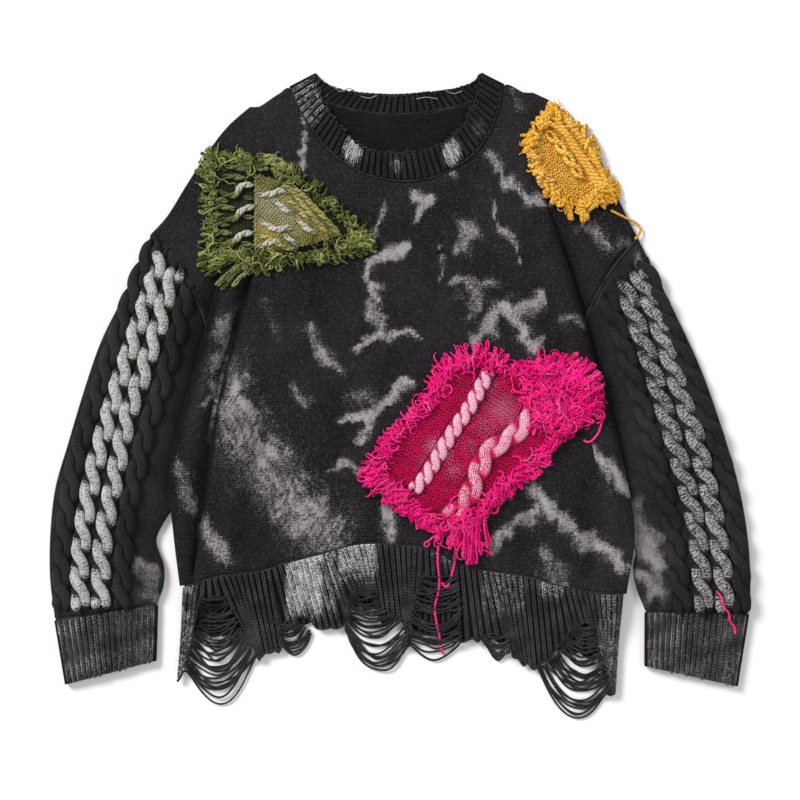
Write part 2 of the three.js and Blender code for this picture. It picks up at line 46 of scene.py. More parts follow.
def rail(points):  # a smooth line through points, its points evenly spread over 0 to 1
    p = np.array(points, float) / 1000
    p = np.vstack([2 * p[0] - p[1], p, 2 * p[-1] - p[-2]])
    n = len(points) - 1
    def line(t):
        t = np.clip(np.asarray(t, float), 0, 1) * n
        i = np.minimum(t.astype(int), n - 1)
        f = (t - i)[..., None]
        a, b, c, d = p[i], p[i + 1], p[i + 2], p[i + 3]
        return 0.5 * (2 * b + (c - a) * f + (2 * a - 5 * b + 4 * c - d) * f**2
                      + (3 * b - a - 3 * c + d) * f**3)
    return line

def evenRail(points):  # the same line, evenly spread along its length
    line = rail(points)
    t = np.linspace(0, 1, 600)
    s = np.concatenate([[0], np.cumsum(np.linalg.norm(np.diff(line(t), axis=0), axis=1))])
    return lambda u: line(np.interp(u, s / s[-1], t))

def lengthOf(points):
    return float(np.linalg.norm(np.diff(evenRail(points)(np.linspace(0, 1, 200)), axis=0), axis=1).sum())

def between(left, right, bottom, top):  # the surface that fills four lines
    def surface(u, v):
        u, v = np.broadcast_arrays(np.asarray(u, float), np.asarray(v, float))
        a, b = u[..., None], v[..., None]
        flat = (1 - b) * ((1 - a) * left(0.0) + a * right(0.0)) + b * ((1 - a) * left(1.0) + a * right(1.0))
        return (1 - a) * left(v) + a * right(v) + (1 - b) * bottom(u) + b * top(u) - flat
    return surface

def smooth(low, high, x):
    t = np.clip((np.asarray(x, float) - low) / (high - low), 0, 1)
    return t * t * (3 - 2 * t)

def mix(a, b, t):
    return a + (b - a) * t

def awayFrom(xy, points):  # distance of places from a broken line, and how far along it they are
    p = np.array(points, float) / 1000
    best = np.full(xy.shape[:-1], 9.0)
    along = np.zeros(xy.shape[:-1])
    for k, (a, b) in enumerate(zip(p[:-1], p[1:])):
        d = b - a
        t = np.clip(((xy - a) @ d) / max(d @ d, 1e-12), 0, 1)
        far = np.linalg.norm(xy - a - t[..., None] * d, axis=-1)
        near = far < best
        best = np.where(near, far, best)
        along = np.where(near, (k + t) / (len(p) - 1), along)
    return best, along

def tile(xy, size, seed):  # soft blotches of a size, 0 to 1
    chance = np.random.default_rng(seed)
    total = 0
    for _ in range(4):  # four slow waves that cross
        direction = chance.uniform(0, 2 * math.pi)
        waves = chance.uniform(0.7, 1.4) * 2 * math.pi / size
        total = total + np.sin((xy[..., 0] * math.cos(direction) + xy[..., 1] * math.sin(direction)) * waves
                               + chance.uniform(0, 6.3))
    return np.clip(0.5 + total / 6, 0, 1)

# The camera, the lights and the table.
view = {"height": 2.12, "lens": 85}
camera = bpy.data.objects.new("camera", bpy.data.cameras.new("camera"))
camera.location = (0, 0, view["height"])  # straight overhead
camera.data.lens = view["lens"]
camera.data.sensor_width = 36
bpy.context.collection.objects.link(camera)
bpy.context.scene.camera = camera
bpy.context.scene.view_settings.view_transform = "Standard"

def addNode(tree, kind, inputs=None, **settings):
    node = tree.nodes.new(kind)
    for word, value in settings.items():
        setattr(node, word, value)
    for word, value in (inputs or {}).items():
        value = value.outputs[0] if isinstance(value, bpy.types.Node) else value
        if isinstance(value, bpy.types.NodeSocket):
            tree.links.new(value, node.inputs[word])
        else:
            node.inputs[word].default_value = value
    return node

def toLinear(hexColour):
    channels = [int(hexColour[i:i + 2], 16) / 255 for i in (1, 3, 5)]
    return tuple(c / 12.92 if c <= 0.04045 else ((c + 0.055) / 1.055) ** 2.4 for c in channels) + (1.0,)

def startMaterial(name):
    material = bpy.data.materials.new(name)
    material.use_nodes = True
    material.node_tree.nodes.clear()
    return material, material.node_tree

lamps = [  # place, width, watts, shade: soft boxes, the main one at the upper left
    ((-3.9, 3.4, 3.6), 2.6, 440, "#fffaf6"), ((3.2, 0.8, 3.2), 2.0, 30, "#f4f6ff"),
    ((0.1, -3.2, 3.2), 2.0, 26, "#ffffff"),
]
for place, width, watts, shade in lamps:
    lamp = bpy.data.lights.new("soft_box", "AREA")
    lamp.shape, lamp.size, lamp.energy, lamp.color = "DISK", width, watts, toLinear(shade)[:3]
    box = bpy.data.objects.new("soft_box", lamp)
    box.location = place
    aim = -np.array(place) / np.linalg.norm(place)
    box.rotation_euler = (math.acos(-aim[2]), 0, math.atan2(-aim[0], aim[1]))
    bpy.context.collection.objects.link(box)
world = bpy.data.worlds.new("studio")
world.use_nodes = True
world.node_tree.nodes["Background"].inputs["Color"].default_value = toLinear("#ffffff")
world.node_tree.nodes["Background"].inputs["Strength"].default_value = 0.42
bpy.context.scene.world = world

# Matt white paper: nothing but a plain white for the eye.
paper, tree = startMaterial("matt_white_paper")
shader = addNode(tree, "ShaderNodeBsdfPrincipled", {"Base Color": toLinear("#fbfbfb"), "Roughness": 0.9,
                                                    "Specular IOR Level": 0.2})
addNode(tree, "ShaderNodeOutputMaterial", {"Surface": shader})
floorMesh = bpy.data.meshes.new("table")
floorMesh.from_pydata([(-3, -3, -0.0004), (3, -3, -0.0004), (3, 3, -0.0004), (-3, 3, -0.0004)], [],
                      [(0, 1, 2, 3)])
table = bpy.data.objects.new("table", floorMesh)
floorMesh.materials.append(paper)
bpy.context.collection.objects.link(table)

# Yarns and knits.
# Wool and cotton: rough, hardly shiny, with a soft sheen from loose fibres. Stocking stitch shows
# columns of V. A body knit of this weight has columns about 1.4 mm wide, too fine to show here, so
# they are drawn 2.1 mm wide.
def knitMaterial(name, look):
    material, tree = startMaterial(name)
    place = addNode(tree, "ShaderNodeTexCoord").outputs["Object"]
    if "wrap" in look:  # a strand of a cable, with so many columns round it
        around = addNode(tree, "ShaderNodeAttribute", attribute_name="around").outputs["Fac"]
        lengthwise = addNode(tree, "ShaderNodeAttribute", attribute_name="along").outputs["Fac"]
        across = addNode(tree, "ShaderNodeMath", {0: around, 1: look["wrap"]}, operation="MULTIPLY")
    else:
        uv = addNode(tree, "ShaderNodeSeparateXYZ", {0: addNode(tree, "ShaderNodeUVMap", uv_map="knitting")})
        around, lengthwise = uv.outputs["X"], uv.outputs["Y"]
        across = addNode(tree, "ShaderNodeMath", {0: around, 1: 1 / look["wale"]}, operation="MULTIPLY")
    column = addNode(tree, "ShaderNodeMath", {0: across}, operation="FRACT")
    column = addNode(tree, "ShaderNodeMath", {0: column, 1: 0.5}, operation="SUBTRACT")
    column = addNode(tree, "ShaderNodeMath", {0: column}, operation="ABSOLUTE")
    along = addNode(tree, "ShaderNodeMath", {0: lengthwise, 1: 1 / look["row"], 2: column},
                    operation="MULTIPLY_ADD")
    wave = addNode(tree, "ShaderNodeMath", {0: along, 1: 2 * math.pi}, operation="MULTIPLY")
    wave = addNode(tree, "ShaderNodeMath", {0: wave}, operation="COSINE")
    legs = addNode(tree, "ShaderNodeMath", {0: column, 1: 2 * math.pi}, operation="MULTIPLY")
    legs = addNode(tree, "ShaderNodeMath", {0: legs}, operation="SINE")
    rows = addNode(tree, "ShaderNodeMath", {0: wave, 1: 0.3, 2: 0.7}, operation="MULTIPLY_ADD")
    stitch = addNode(tree, "ShaderNodeMath", {0: legs, 1: rows}, operation="MULTIPLY")
    fuzz = addNode(tree, "ShaderNodeTexNoise", {"Vector": place, "Scale": 1 / look["fuzz"], "Detail": 2})
    cloud = addNode(tree, "ShaderNodeTexNoise", {"Vector": place, "Scale": 1 / 0.09, "Detail": 4,
                                                 "Roughness": 0.65})
    height = addNode(tree, "ShaderNodeMath", {0: fuzz, 1: 0.6, 2: stitch}, operation="MULTIPLY_ADD")
    if "rib" in look:  # every second column stands back
        rib = addNode(tree, "ShaderNodeMath", {0: around, 1: 1 / look["rib"]}, operation="MULTIPLY")
        rib = addNode(tree, "ShaderNodeMath", {0: rib, 1: 1.0}, operation="PINGPONG")
        rib = addNode(tree, "ShaderNodeMapRange", {"Value": rib, "From Min": 0.12, "From Max": 0.5},
                      interpolation_type="SMOOTHSTEP")
        height = addNode(tree, "ShaderNodeMath", {0: height, 1: rib}, operation="MULTIPLY")
    worn = addNode(tree, "ShaderNodeMapRange", {"Value": cloud, "From Min": 0.42, "From Max": 0.68})
    colour = addNode(tree, "ShaderNodeMix", {0: worn, 6: toLinear(look["colour"]), 7: toLinear(look["worn"])},
                     data_type="RGBA")
    # Painted shade and highlight: darker in the hollows between stitches, lighter on their crowns.
    groove = addNode(tree, "ShaderNodeMapRange", {"Value": height, "From Min": 0.25, "From Max": 1.0,
                                                  "To Min": look.get("groove", 0.55), "To Max": 1.25})
    colour = addNode(tree, "ShaderNodeMix", {0: 1.0, 6: colour.outputs[2], 7: groove}, data_type="RGBA",
                     blend_type="MULTIPLY")
    speck = addNode(tree, "ShaderNodeTexNoise", {"Vector": place, "Scale": 1 / 0.0026, "Detail": 3,
                                                 "Roughness": 0.7})
    specks = look.get("specks", 1.5)
    grain = addNode(tree, "ShaderNodeMath", {0: speck, 1: specks, 2: height}, operation="MULTIPLY_ADD")
    wisp = addNode(tree, "ShaderNodeTexNoise", {"Vector": place, "Scale": 1 / 0.01, "Detail": 4,
                                                "Roughness": 0.75, "Distortion": 1.2})
    streaks = addNode(tree, "ShaderNodeMapping", {"Vector": place, "Rotation": (0, 0, 0.5),
                                                  "Scale": (1, 0.2, 1)})
    streaks = addNode(tree, "ShaderNodeTexNoise", {"Vector": streaks, "Scale": 1 / 0.0055, "Detail": 3,
                                                   "Roughness": 0.7, "Distortion": 0.8})
    for word in ("bleach", "paint"):  # both sit on the raised parts, and reach deeper where there is more
        mark = addNode(tree, "ShaderNodeAttribute", attribute_name=word)
        wisps = addNode(tree, "ShaderNodeMath", {0: wisp, 1: 1.2, 2: grain}, operation="MULTIPLY_ADD")
        wisps = addNode(tree, "ShaderNodeMath", {0: streaks, 1: 1.0 if word == "bleach" else 0.4, 2: wisps},
                        operation="MULTIPLY_ADD")
        reach = addNode(tree, "ShaderNodeMath", {0: mark.outputs["Fac"], 1: 1.5, 2: wisps},
                        operation="MULTIPLY_ADD")
        low = 1.72 + 0.7 * specks if word == "bleach" else look.get("dry", 2.1)
        reach = addNode(tree, "ShaderNodeMapRange", {"Value": reach, "From Min": low,
                                                     "From Max": low + look.get("blend", 0.95)})
        amount = addNode(tree, "ShaderNodeMath", {0: mark.outputs["Fac"], 1: 3.0}, operation="MULTIPLY",
                         use_clamp=True)
        amount = addNode(tree, "ShaderNodeMath", {0: amount, 1: reach}, operation="MULTIPLY")
        colour = addNode(tree, "ShaderNodeMix", {0: amount, 6: colour.outputs[2], 7: toLinear(look[word])},
                         data_type="RGBA")
    fluff = 0.63 * specks  # pale fluff on the highest stitches, and a painted sheen on their crowns
    lintAndSheen = addNode(tree, "ShaderNodeMapRange", {"Value": grain, "From Min": 0.8 + fluff,
                                                "From Max": 1.15 + fluff, "To Max": look.get("lintAndSheen", 0.22)})
    colour = addNode(tree, "ShaderNodeMix", {0: lintAndSheen, 6: colour.outputs[2], 7: toLinear(look["bleach"])},
                     data_type="RGBA")
    shade = addNode(tree, "ShaderNodeAttribute", attribute_name="shade")  # painted shade: darker down beside a fold, and over the back panel
    shade = addNode(tree, "ShaderNodeMath", {0: shade.outputs["Fac"], 1: -0.88, 2: 1.0},
                    operation="MULTIPLY_ADD")
    # Paint below zero: painted shade between two strands of a cable, where one passes under the other.
    under = addNode(tree, "ShaderNodeAttribute", attribute_name="paint")
    under = addNode(tree, "ShaderNodeMapRange", {"Value": under.outputs["Fac"], "From Min": -1.0,
                                                 "From Max": 0.0, "To Min": 0.15, "To Max": 1.0})
    shade = addNode(tree, "ShaderNodeMath", {0: shade, 1: under}, operation="MULTIPLY")
    colour = addNode(tree, "ShaderNodeMix", {0: 1.0, 6: colour.outputs[2], 7: shade}, data_type="RGBA",
                     blend_type="MULTIPLY")
    bump = addNode(tree, "ShaderNodeBump", {"Height": height, "Distance": look["relief"], "Strength": 1.0})
    shader = addNode(tree, "ShaderNodeBsdfPrincipled", {
        "Base Color": colour.outputs[2], "Normal": bump, "Roughness": 0.9, "Specular IOR Level": 0.1,
        "Sheen Weight": look.get("sheen", 0.12), "Sheen Roughness": 0.5})
    addNode(tree, "ShaderNodeOutputMaterial", {"Surface": shader})
    return material

def yarnMaterial(name, look):  # plied yarn: slanted plies wind round it, and loose fibres catch the light
    material, tree = startMaterial(name)
    place = addNode(tree, "ShaderNodeTexCoord").outputs["Object"]
    around = addNode(tree, "ShaderNodeAttribute", attribute_name="around")
    along = addNode(tree, "ShaderNodeAttribute", attribute_name="along")
    wind = addNode(tree, "ShaderNodeMath", {0: along.outputs["Fac"], 1: 1 / look["ply"]},
                   operation="MULTIPLY")
    wind = addNode(tree, "ShaderNodeMath", {0: around.outputs["Fac"], 1: 2.0, 2: wind},
                   operation="MULTIPLY_ADD")
    wind = addNode(tree, "ShaderNodeMath", {0: wind, 1: 2 * math.pi}, operation="MULTIPLY")
    ply = addNode(tree, "ShaderNodeMath", {0: wind}, operation="SINE")
    fuzz = addNode(tree, "ShaderNodeTexNoise", {"Vector": place, "Scale": 1 / 0.0016, "Detail": 2})
    height = addNode(tree, "ShaderNodeMath", {0: ply, 1: 0.3, 2: fuzz}, operation="MULTIPLY_ADD")
    cloud = addNode(tree, "ShaderNodeTexNoise", {"Vector": place, "Scale": 1 / 0.016, "Detail": 2})
    worn = addNode(tree, "ShaderNodeMapRange", {"Value": cloud, "From Min": 0.4, "From Max": 0.65})
    colour = addNode(tree, "ShaderNodeMix", {0: worn, 6: toLinear(look["colour"]), 7: toLinear(look["worn"])},
                     data_type="RGBA")
    mark = addNode(tree, "ShaderNodeAttribute", attribute_name="paint")
    colour = addNode(tree, "ShaderNodeMix", {0: mark.outputs["Fac"], 6: colour.outputs[2],
                                             7: toLinear(look["paint"])}, data_type="RGBA")
    # Painted shade and highlight: darker in the twist's hollows, lighter on its ridges.
    groove = addNode(tree, "ShaderNodeMapRange", {"Value": height, "From Min": 0.2, "From Max": 0.75,
                                                  "To Min": 0.55, "To Max": 1.15})
    # Paint below zero: painted shade down between strands.
    shadeBetween = addNode(tree, "ShaderNodeMapRange", {"Value": mark.outputs["Fac"], "From Min": -1.0,
                                                "From Max": 0.0, "To Min": 0.12, "To Max": 1.0})
    groove = addNode(tree, "ShaderNodeMath", {0: groove, 1: shadeBetween}, operation="MULTIPLY")
    colour = addNode(tree, "ShaderNodeMix", {0: 1.0, 6: colour.outputs[2], 7: groove}, data_type="RGBA",
                     blend_type="MULTIPLY")
    bump = addNode(tree, "ShaderNodeBump", {"Height": height, "Distance": 0.0005, "Strength": 1.0})
    shader = addNode(tree, "ShaderNodeBsdfPrincipled", {
        "Base Color": colour.outputs[2], "Normal": bump, "Roughness": 0.88, "Specular IOR Level": 0.12,
        "Sheen Weight": 0.03, "Sheen Roughness": 0.5})
    addNode(tree, "ShaderNodeOutputMaterial", {"Surface": shader})
    return material

# Charcoal wool, dyed after knitting: matt, almost black, a little greyer where the nap is rubbed.
ink = {"colour": "#171618", "worn": "#242326", "bleach": "#a8a4a6", "paint": "#d8d8d6", "fuzz": 0.0012,
       "sheen": 0.03}

# Plain knit: a flat, dense face with faint columns, and bleach that eats into it in wisps.
bodyKnit = knitMaterial("stocking_stitch_charcoal_wool", {
    **ink, "wale": 0.0021, "row": 0.0018, "relief": 0.0004, "groove": 0.72, "specks": 2.4, "blend": 0.7})

# The same wool, knitted looser for the sleeves: paler, with deeper columns.
sleeveKnit = knitMaterial("stocking_stitch_sleeve_wool", {
    **ink, "colour": "#1e1d1f", "worn": "#2e2d31", "wale": 0.0021, "row": 0.0018, "relief": 0.0005})

# Ribbed wool: raised columns over black grooves, partly painted shade, and white paint that stays on top of
# them.
ribKnit = knitMaterial("ribbed_charcoal_wool", {
    **ink, "colour": "#29282b", "worn": "#434146", "wale": 0.00325, "row": 0.0034, "relief": 0.0008,
    "rib": 0.00325, "groove": 0.1, "specks": 2.4, "dry": 2.5, "lintAndSheen": 0.1})

# The neckband's rib is drawn blacker than the hem's.
bandKnit = knitMaterial("ribbed_neck_wool", {
    **ink, "colour": "#1b1a1c", "worn": "#2d2b2f", "wale": 0.00325, "row": 0.0034, "relief": 0.0008,
    "rib": 0.00325, "groove": 0.1})

# Cables: each strand is knit of its own, with columns round it, and dry white paint rubbed on its crown.
cableKnit = knitMaterial("cabled_charcoal_wool", {
    **ink, "colour": "#1e1d1f", "worn": "#322f33", "paint": "#c8c8c6", "wrap": 9.0, "row": 0.0034,
    "relief": 0.0006, "groove": 0.6, "specks": 3.2, "dry": 3.75, "blend": 0.9, "lintAndSheen": 0.1})

# Plied wool and cotton yarns: a slanted twist every 5 mm and short fluff give a soft, uneven line.
stitchYarn = yarnMaterial("stitches_of_charcoal_wool", {
    "colour": "#323134", "worn": "#4c4a4f", "paint": "#cfcfcd", "ply": 0.005})
bandYarn = yarnMaterial("stitches_of_neck_wool", {
    "colour": "#232225", "worn": "#343236", "paint": "#cfcfcd", "ply": 0.005})
looseYarn = yarnMaterial("plied_charcoal_yarn", {
    "colour": "#272629", "worn": "#3a383d", "paint": "#d8d8d6", "ply": 0.005})
oliveYarn = yarnMaterial("plied_olive_yarn", {
    "colour": "#434d20", "worn": "#6b7637", "paint": "#a9ad6c", "ply": 0.005})
paleYarn = yarnMaterial("plied_grey_and_green_yarn", {
    "colour": "#4b5528", "worn": "#727c40", "paint": "#bdbbae", "ply": 0.005})
khakiYarn = yarnMaterial("plied_khaki_yarn", {
    "colour": "#74763c", "worn": "#a89c54", "paint": "#c6c2b0", "ply": 0.005})
magentaYarn = yarnMaterial("plied_magenta_yarn", {
    "colour": "#ee0a78", "worn": "#ff2690", "paint": "#fdc3dc", "ply": 0.005})
fieldYarn = yarnMaterial("stitches_of_magenta_cotton", {
    "colour": "#c2044c", "worn": "#dc0a5e", "paint": "#f6a3c8", "ply": 0.005})
yellowYarn = yarnMaterial("plied_yellow_yarn", {
    "colour": "#dd9c24", "worn": "#f2b83c", "paint": "#fbdd8c", "ply": 0.005})

# Geometry nodes: a yarn along a path, and stitch legs on points.
# Sweeps an oval round every line of a mesh, and keeps how far along and around each point is.
def strandTree():
    tree = bpy.data.node_groups.new("yarn_along_path", "GeometryNodeTree")
    for word, kind in (("Geometry", "NodeSocketGeometry"), ("Half width", "NodeSocketFloat"),
                       ("Half height", "NodeSocketFloat"), ("Sides", "NodeSocketInt"),
                       ("Yarn", "NodeSocketMaterial")):
        tree.interface.new_socket(word, in_out="INPUT", socket_type=kind)
    tree.interface.new_socket("Geometry", in_out="OUTPUT", socket_type="NodeSocketGeometry")
    given = addNode(tree, "NodeGroupInput")
    lines = addNode(tree, "GeometryNodeMeshToCurve", {"Mesh": given.outputs["Geometry"]})
    lines = addNode(tree, "GeometryNodeSetCurveNormal", {"Curve": lines}, mode="Z_UP")
    size = addNode(tree, "GeometryNodeInputNamedAttribute", {"Name": "size"}, data_type="FLOAT")
    lines = addNode(tree, "GeometryNodeSetCurveRadius", {"Curve": lines, "Radius": size})
    length = addNode(tree, "GeometryNodeSplineParameter")
    lines = addNode(tree, "GeometryNodeStoreNamedAttribute",
                    {"Geometry": lines, "Name": "along", "Value": length.outputs["Length"]},
                    data_type="FLOAT", domain="POINT")
    oval = addNode(tree, "GeometryNodeCurvePrimitiveCircle", {"Resolution": given.outputs["Sides"],
                                                              "Radius": 1.0})
    scale = addNode(tree, "ShaderNodeCombineXYZ", {"X": given.outputs["Half width"],
                                                   "Y": given.outputs["Half height"], "Z": 1.0})
    oval = addNode(tree, "GeometryNodeTransform", {"Geometry": oval, "Scale": scale})
    factor = addNode(tree, "GeometryNodeSplineParameter")
    oval = addNode(tree, "GeometryNodeStoreNamedAttribute",
                   {"Geometry": oval, "Name": "around", "Value": factor.outputs["Factor"]},
                   data_type="FLOAT", domain="POINT")
    solid = addNode(tree, "GeometryNodeCurveToMesh", {"Curve": lines, "Profile Curve": oval,
                                                      "Fill Caps": True})
    tree.links.new(size.outputs[0], solid.inputs["Scale"])
    solid = addNode(tree, "GeometryNodeSetShadeSmooth", {"Geometry": solid})
    solid = addNode(tree, "GeometryNodeRealizeInstances", {"Geometry": solid})
    solid = addNode(tree, "GeometryNodeSetMaterial", {"Geometry": solid, "Material": given.outputs["Yarn"]})
    addNode(tree, "NodeGroupOutput", {"Geometry": solid})
    return tree

def stitchTree():  # one plump leg of a stitch on every point, turned and sized by the point's own marks
    tree = bpy.data.node_groups.new("stitches_on_cloth", "GeometryNodeTree")
    for word, kind in (("Geometry", "NodeSocketGeometry"), ("Leg width", "NodeSocketFloat"),
                       ("Leg length", "NodeSocketFloat"), ("Leg height", "NodeSocketFloat"),
                       ("Yarn", "NodeSocketMaterial")):
        tree.interface.new_socket(word, in_out="INPUT", socket_type=kind)
    tree.interface.new_socket("Geometry", in_out="OUTPUT", socket_type="NodeSocketGeometry")
    given = addNode(tree, "NodeGroupInput")
    leg = addNode(tree, "GeometryNodeMeshUVSphere", {"Segments": 5, "Rings": 3, "Radius": 0.5})
    turned = addNode(tree, "GeometryNodeTransform", {"Geometry": leg, "Rotation": (math.pi / 2, 0, 0)})
    scale = addNode(tree, "ShaderNodeCombineXYZ",
                    {"X": given.outputs["Leg width"], "Y": given.outputs["Leg length"],
                     "Z": given.outputs["Leg height"]})
    leg = addNode(tree, "GeometryNodeTransform", {"Geometry": turned, "Scale": scale})
    turn = addNode(tree, "GeometryNodeInputNamedAttribute", {"Name": "turn"}, data_type="FLOAT_VECTOR")
    size = addNode(tree, "GeometryNodeInputNamedAttribute", {"Name": "size"}, data_type="FLOAT")
    legs = addNode(tree, "GeometryNodeInstanceOnPoints", {"Points": given.outputs["Geometry"],
                                                          "Instance": leg, "Rotation": turn, "Scale": size})
    legs = addNode(tree, "GeometryNodeRealizeInstances", {"Geometry": legs})
    legs = addNode(tree, "GeometryNodeSetShadeSmooth", {"Geometry": legs})
    legs = addNode(tree, "GeometryNodeSetMaterial", {"Geometry": legs, "Material": given.outputs["Yarn"]})
    addNode(tree, "NodeGroupOutput", {"Geometry": legs})
    return tree

trees = {"strand": strandTree(), "stitch": stitchTree()}

def grow(name, mesh, tree, values):  # runs a tree on a mesh and keeps its result as a plain mesh
    start = bpy.data.objects.new(name + "_lines", mesh)
    bpy.context.collection.objects.link(start)
    modifier = start.modifiers.new("grow", "NODES")
    modifier.node_group = tree
    for item in tree.interface.items_tree:
        if item.item_type == "SOCKET" and item.in_out == "INPUT" and item.name in values:
            modifier[item.identifier] = values[item.name]
    depsgraph = bpy.context.evaluated_depsgraph_get()
    made = bpy.data.meshes.new_from_object(start.evaluated_get(depsgraph))
    bpy.data.objects.remove(start)
    made.name = name
    piece = bpy.data.objects.new(name, made)
    bpy.context.collection.objects.link(piece)
    return piece

def strands(name, lines, width, material, height=None, sides=6):  # lines: (points, sizes, paint)
    points, edges, sizes, paints = [], [], [], []
    for line, size, paint in lines:
        n = len(line)
        edges += [(len(points) + k, len(points) + k + 1) for k in range(n - 1)]
        points += [tuple(p) for p in line]
        sizes += list(np.broadcast_to(size, n))
        paints += list(np.broadcast_to(paint, n))
    mesh = bpy.data.meshes.new(name + "_lines")
    mesh.from_pydata(points, edges, [])
    for word, values in (("size", sizes), ("paint", paints)):
        mesh.attributes.new(word, "FLOAT", "POINT").data.foreach_set("value", np.array(values, np.float32))
    piece = grow(name, mesh, trees["strand"], {"Half width": width / 2, "Half height": (height or width) / 2,
                                               "Sides": sides, "Yarn": material})
    print(name, len(lines), "lines,", sum(len(f.vertices) - 2 for f in piece.data.polygons), "triangles")
    return piece

def stitches(name, legs, width, length, height, material):  # legs: (point, turn, size, paint)
    mesh = bpy.data.meshes.new(name + "_points")
    mesh.from_pydata([tuple(leg[0]) for leg in legs], [], [])
    mesh.attributes.new("turn", "FLOAT_VECTOR", "POINT").data.foreach_set(
        "vector", np.array([leg[1] for leg in legs], np.float32).reshape(-1))
    for word, k in (("size", 2), ("paint", 3)):
        values = np.array([leg[k] for leg in legs], np.float32)
        mesh.attributes.new(word, "FLOAT", "POINT").data.foreach_set("value", values)
    piece = grow(name, mesh, trees["stitch"], {"Leg width": width, "Leg length": length, "Leg height": height,
                                               "Yarn": material})
    print(name, len(legs), "legs,", sum(len(f.vertices) - 2 for f in piece.data.polygons), "triangles")
    return piece

# The pattern pieces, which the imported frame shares: wall thickness, heights of the layers' middles, plans.
cloth = 0.0026
ribCloth = 0.003
frontMid = 0.0044
sleeveMid = 0.0066
pleatMid = 0.011
foldMid = 0.0142
creaseMid = 0.0175

rightSide = {
    "side": 1,
    "fold": [(250, -216), (259, -150), (250, -85), (236, -22), (217, 40), (199, 106), (180, 165), (160, 218),
             (147, 268), (139, 344)],
    "seam": [(240, -216), (239, -150), (216, -85), (190, -22), (192, 30), (202, 78), (216, 112), (236, 146),
             (252, 166), (265, 181)],
    "depth": [16, 26, 40, 54, 46, 34, 20, 8, 2, 0],
    "shoulder": [(139, 344), (168, 330), (192, 305), (213, 280), (237, 235), (265, 181)],
}
leftSide = {
    "side": -1,
    "fold": [(-243, -207), (-250, -150), (-255, -85), (-243, -22), (-225, 40), (-208, 106), (-189, 168),
             (-174, 222), (-165, 275), (-158, 328)],
    "seam": [(-236, -207), (-234, -150), (-220, -85), (-203, -22), (-205, 30), (-215, 82), (-229, 118),
             (-244, 148), (-262, 170), (-278, 185)],
    "depth": [12, 26, 38, 46, 42, 32, 18, 6, 2, 0],
    "shoulder": [(-158, 328), (-184, 307), (-207, 280), (-235, 241), (-258, 207), (-278, 185)],
}
leftTuck = [(-230, -204), (-219, -140), (-212, -85), (-203, -22), (-189, 42), (-170, 110), (-155, 160),
            (-146, 215), (-141, 275), (-138, 340)]
hemLine = [(-230, -204), (-204, -196), (-155, -190), (-127, -181), (-91, -172), (-43, -160), (6, -162),
           (36, -167), (62, -181), (90, -189), (146, -198), (179, -207), (224, -215), (250, -216)]
frontNeck = [(-123, 349), (-110, 319), (-85, 284), (-52, 258), (-15, 246), (20, 245), (54, 255), (88, 280),
             (108, 315), (116, 352)]
frontFreeEdge = [(-93, 365), (-89, 340), (-70, 309), (-45, 284), (-18, 276), (18, 277), (45, 285),
                 (69, 304), (84, 332), (90, 365)]
backNeck = [(-123, 349), (-100, 338), (-78, 331), (-45, 322), (-4, 319), (36, 322), (68, 329), (95, 340),
            (116, 352)]
backFreeEdge = [(-93, 365), (-83, 355), (-60, 347), (-32, 344), (-4, 343), (26, 345), (55, 348), (79, 355),
                (90, 365)]

# Cloth walls with their stitch rows and marks.
def shell(name, grid, thick, uv, marks=None, ring=False, level=False):
    rows, cols = grid.shape[:2]
    if level:
        normal = np.zeros_like(grid)
        normal[..., 2] = 1
    else:
        along = np.roll(grid, -1, 1) - np.roll(grid, 1, 1) if ring else np.gradient(grid, axis=1)
        normal = np.cross(along, np.gradient(grid, axis=0))
        normal /= np.maximum(np.linalg.norm(normal, axis=-1, keepdims=True), 1e-9)
    outer, inner = grid + normal * thick / 2, grid - normal * thick / 2
    points = np.concatenate([outer.reshape(-1, 3), inner.reshape(-1, 3)])
    n = rows * cols
    j, i = np.meshgrid(np.arange(rows - 1), np.arange(cols if ring else cols - 1), indexing="ij")
    a, b = j * cols + i, j * cols + (i + 1) % cols
    c, d = b + cols, a + cols
    faces = [np.stack([a, b, c, d], -1).reshape(-1, 4), np.stack([a, d, c, b], -1).reshape(-1, 4) + n]
    i = np.arange(cols if ring else cols - 1)
    k = (i + 1) % cols
    faces.append(np.stack([k, i, i + n, k + n], -1))
    last = (rows - 1) * cols
    faces.append(np.stack([last + i, last + k, last + k + n, last + i + n], -1))
    if not ring:
        j = np.arange(rows - 1) * cols
        faces.append(np.stack([j, j + cols, j + cols + n, j + n], -1))
        j = j + cols - 1
        faces.append(np.stack([j + cols, j, j + n, j + cols + n], -1))
    faces = np.concatenate(faces)
    mesh = bpy.data.meshes.new(name)
    mesh.from_pydata(points.tolist(), [], faces.tolist())
    mesh.polygons.foreach_set("use_smooth", np.ones(len(faces), bool))
    flat = np.concatenate([uv.reshape(-1, 2)] * 2).astype(np.float32)
    layer = mesh.uv_layers.new(name="knitting")
    layer.uv.foreach_set("vector", flat[faces.reshape(-1)].reshape(-1))
    for word, values in (marks or {}).items():
        mark = mesh.attributes.new(word, "FLOAT", "POINT")
        mark.data.foreach_set("value", np.concatenate([values.reshape(-1)] * 2).astype(np.float32))
    piece = bpy.data.objects.new(name, mesh)
    bpy.context.collection.objects.link(piece)
    spread(outer if not ring else grid + np.array([0, 0, thick / 2]))
    return piece

ground = {"cell": 0.004, "half": 0.42}
heights = np.zeros((210, 210))  # the top of what lies on the table so far

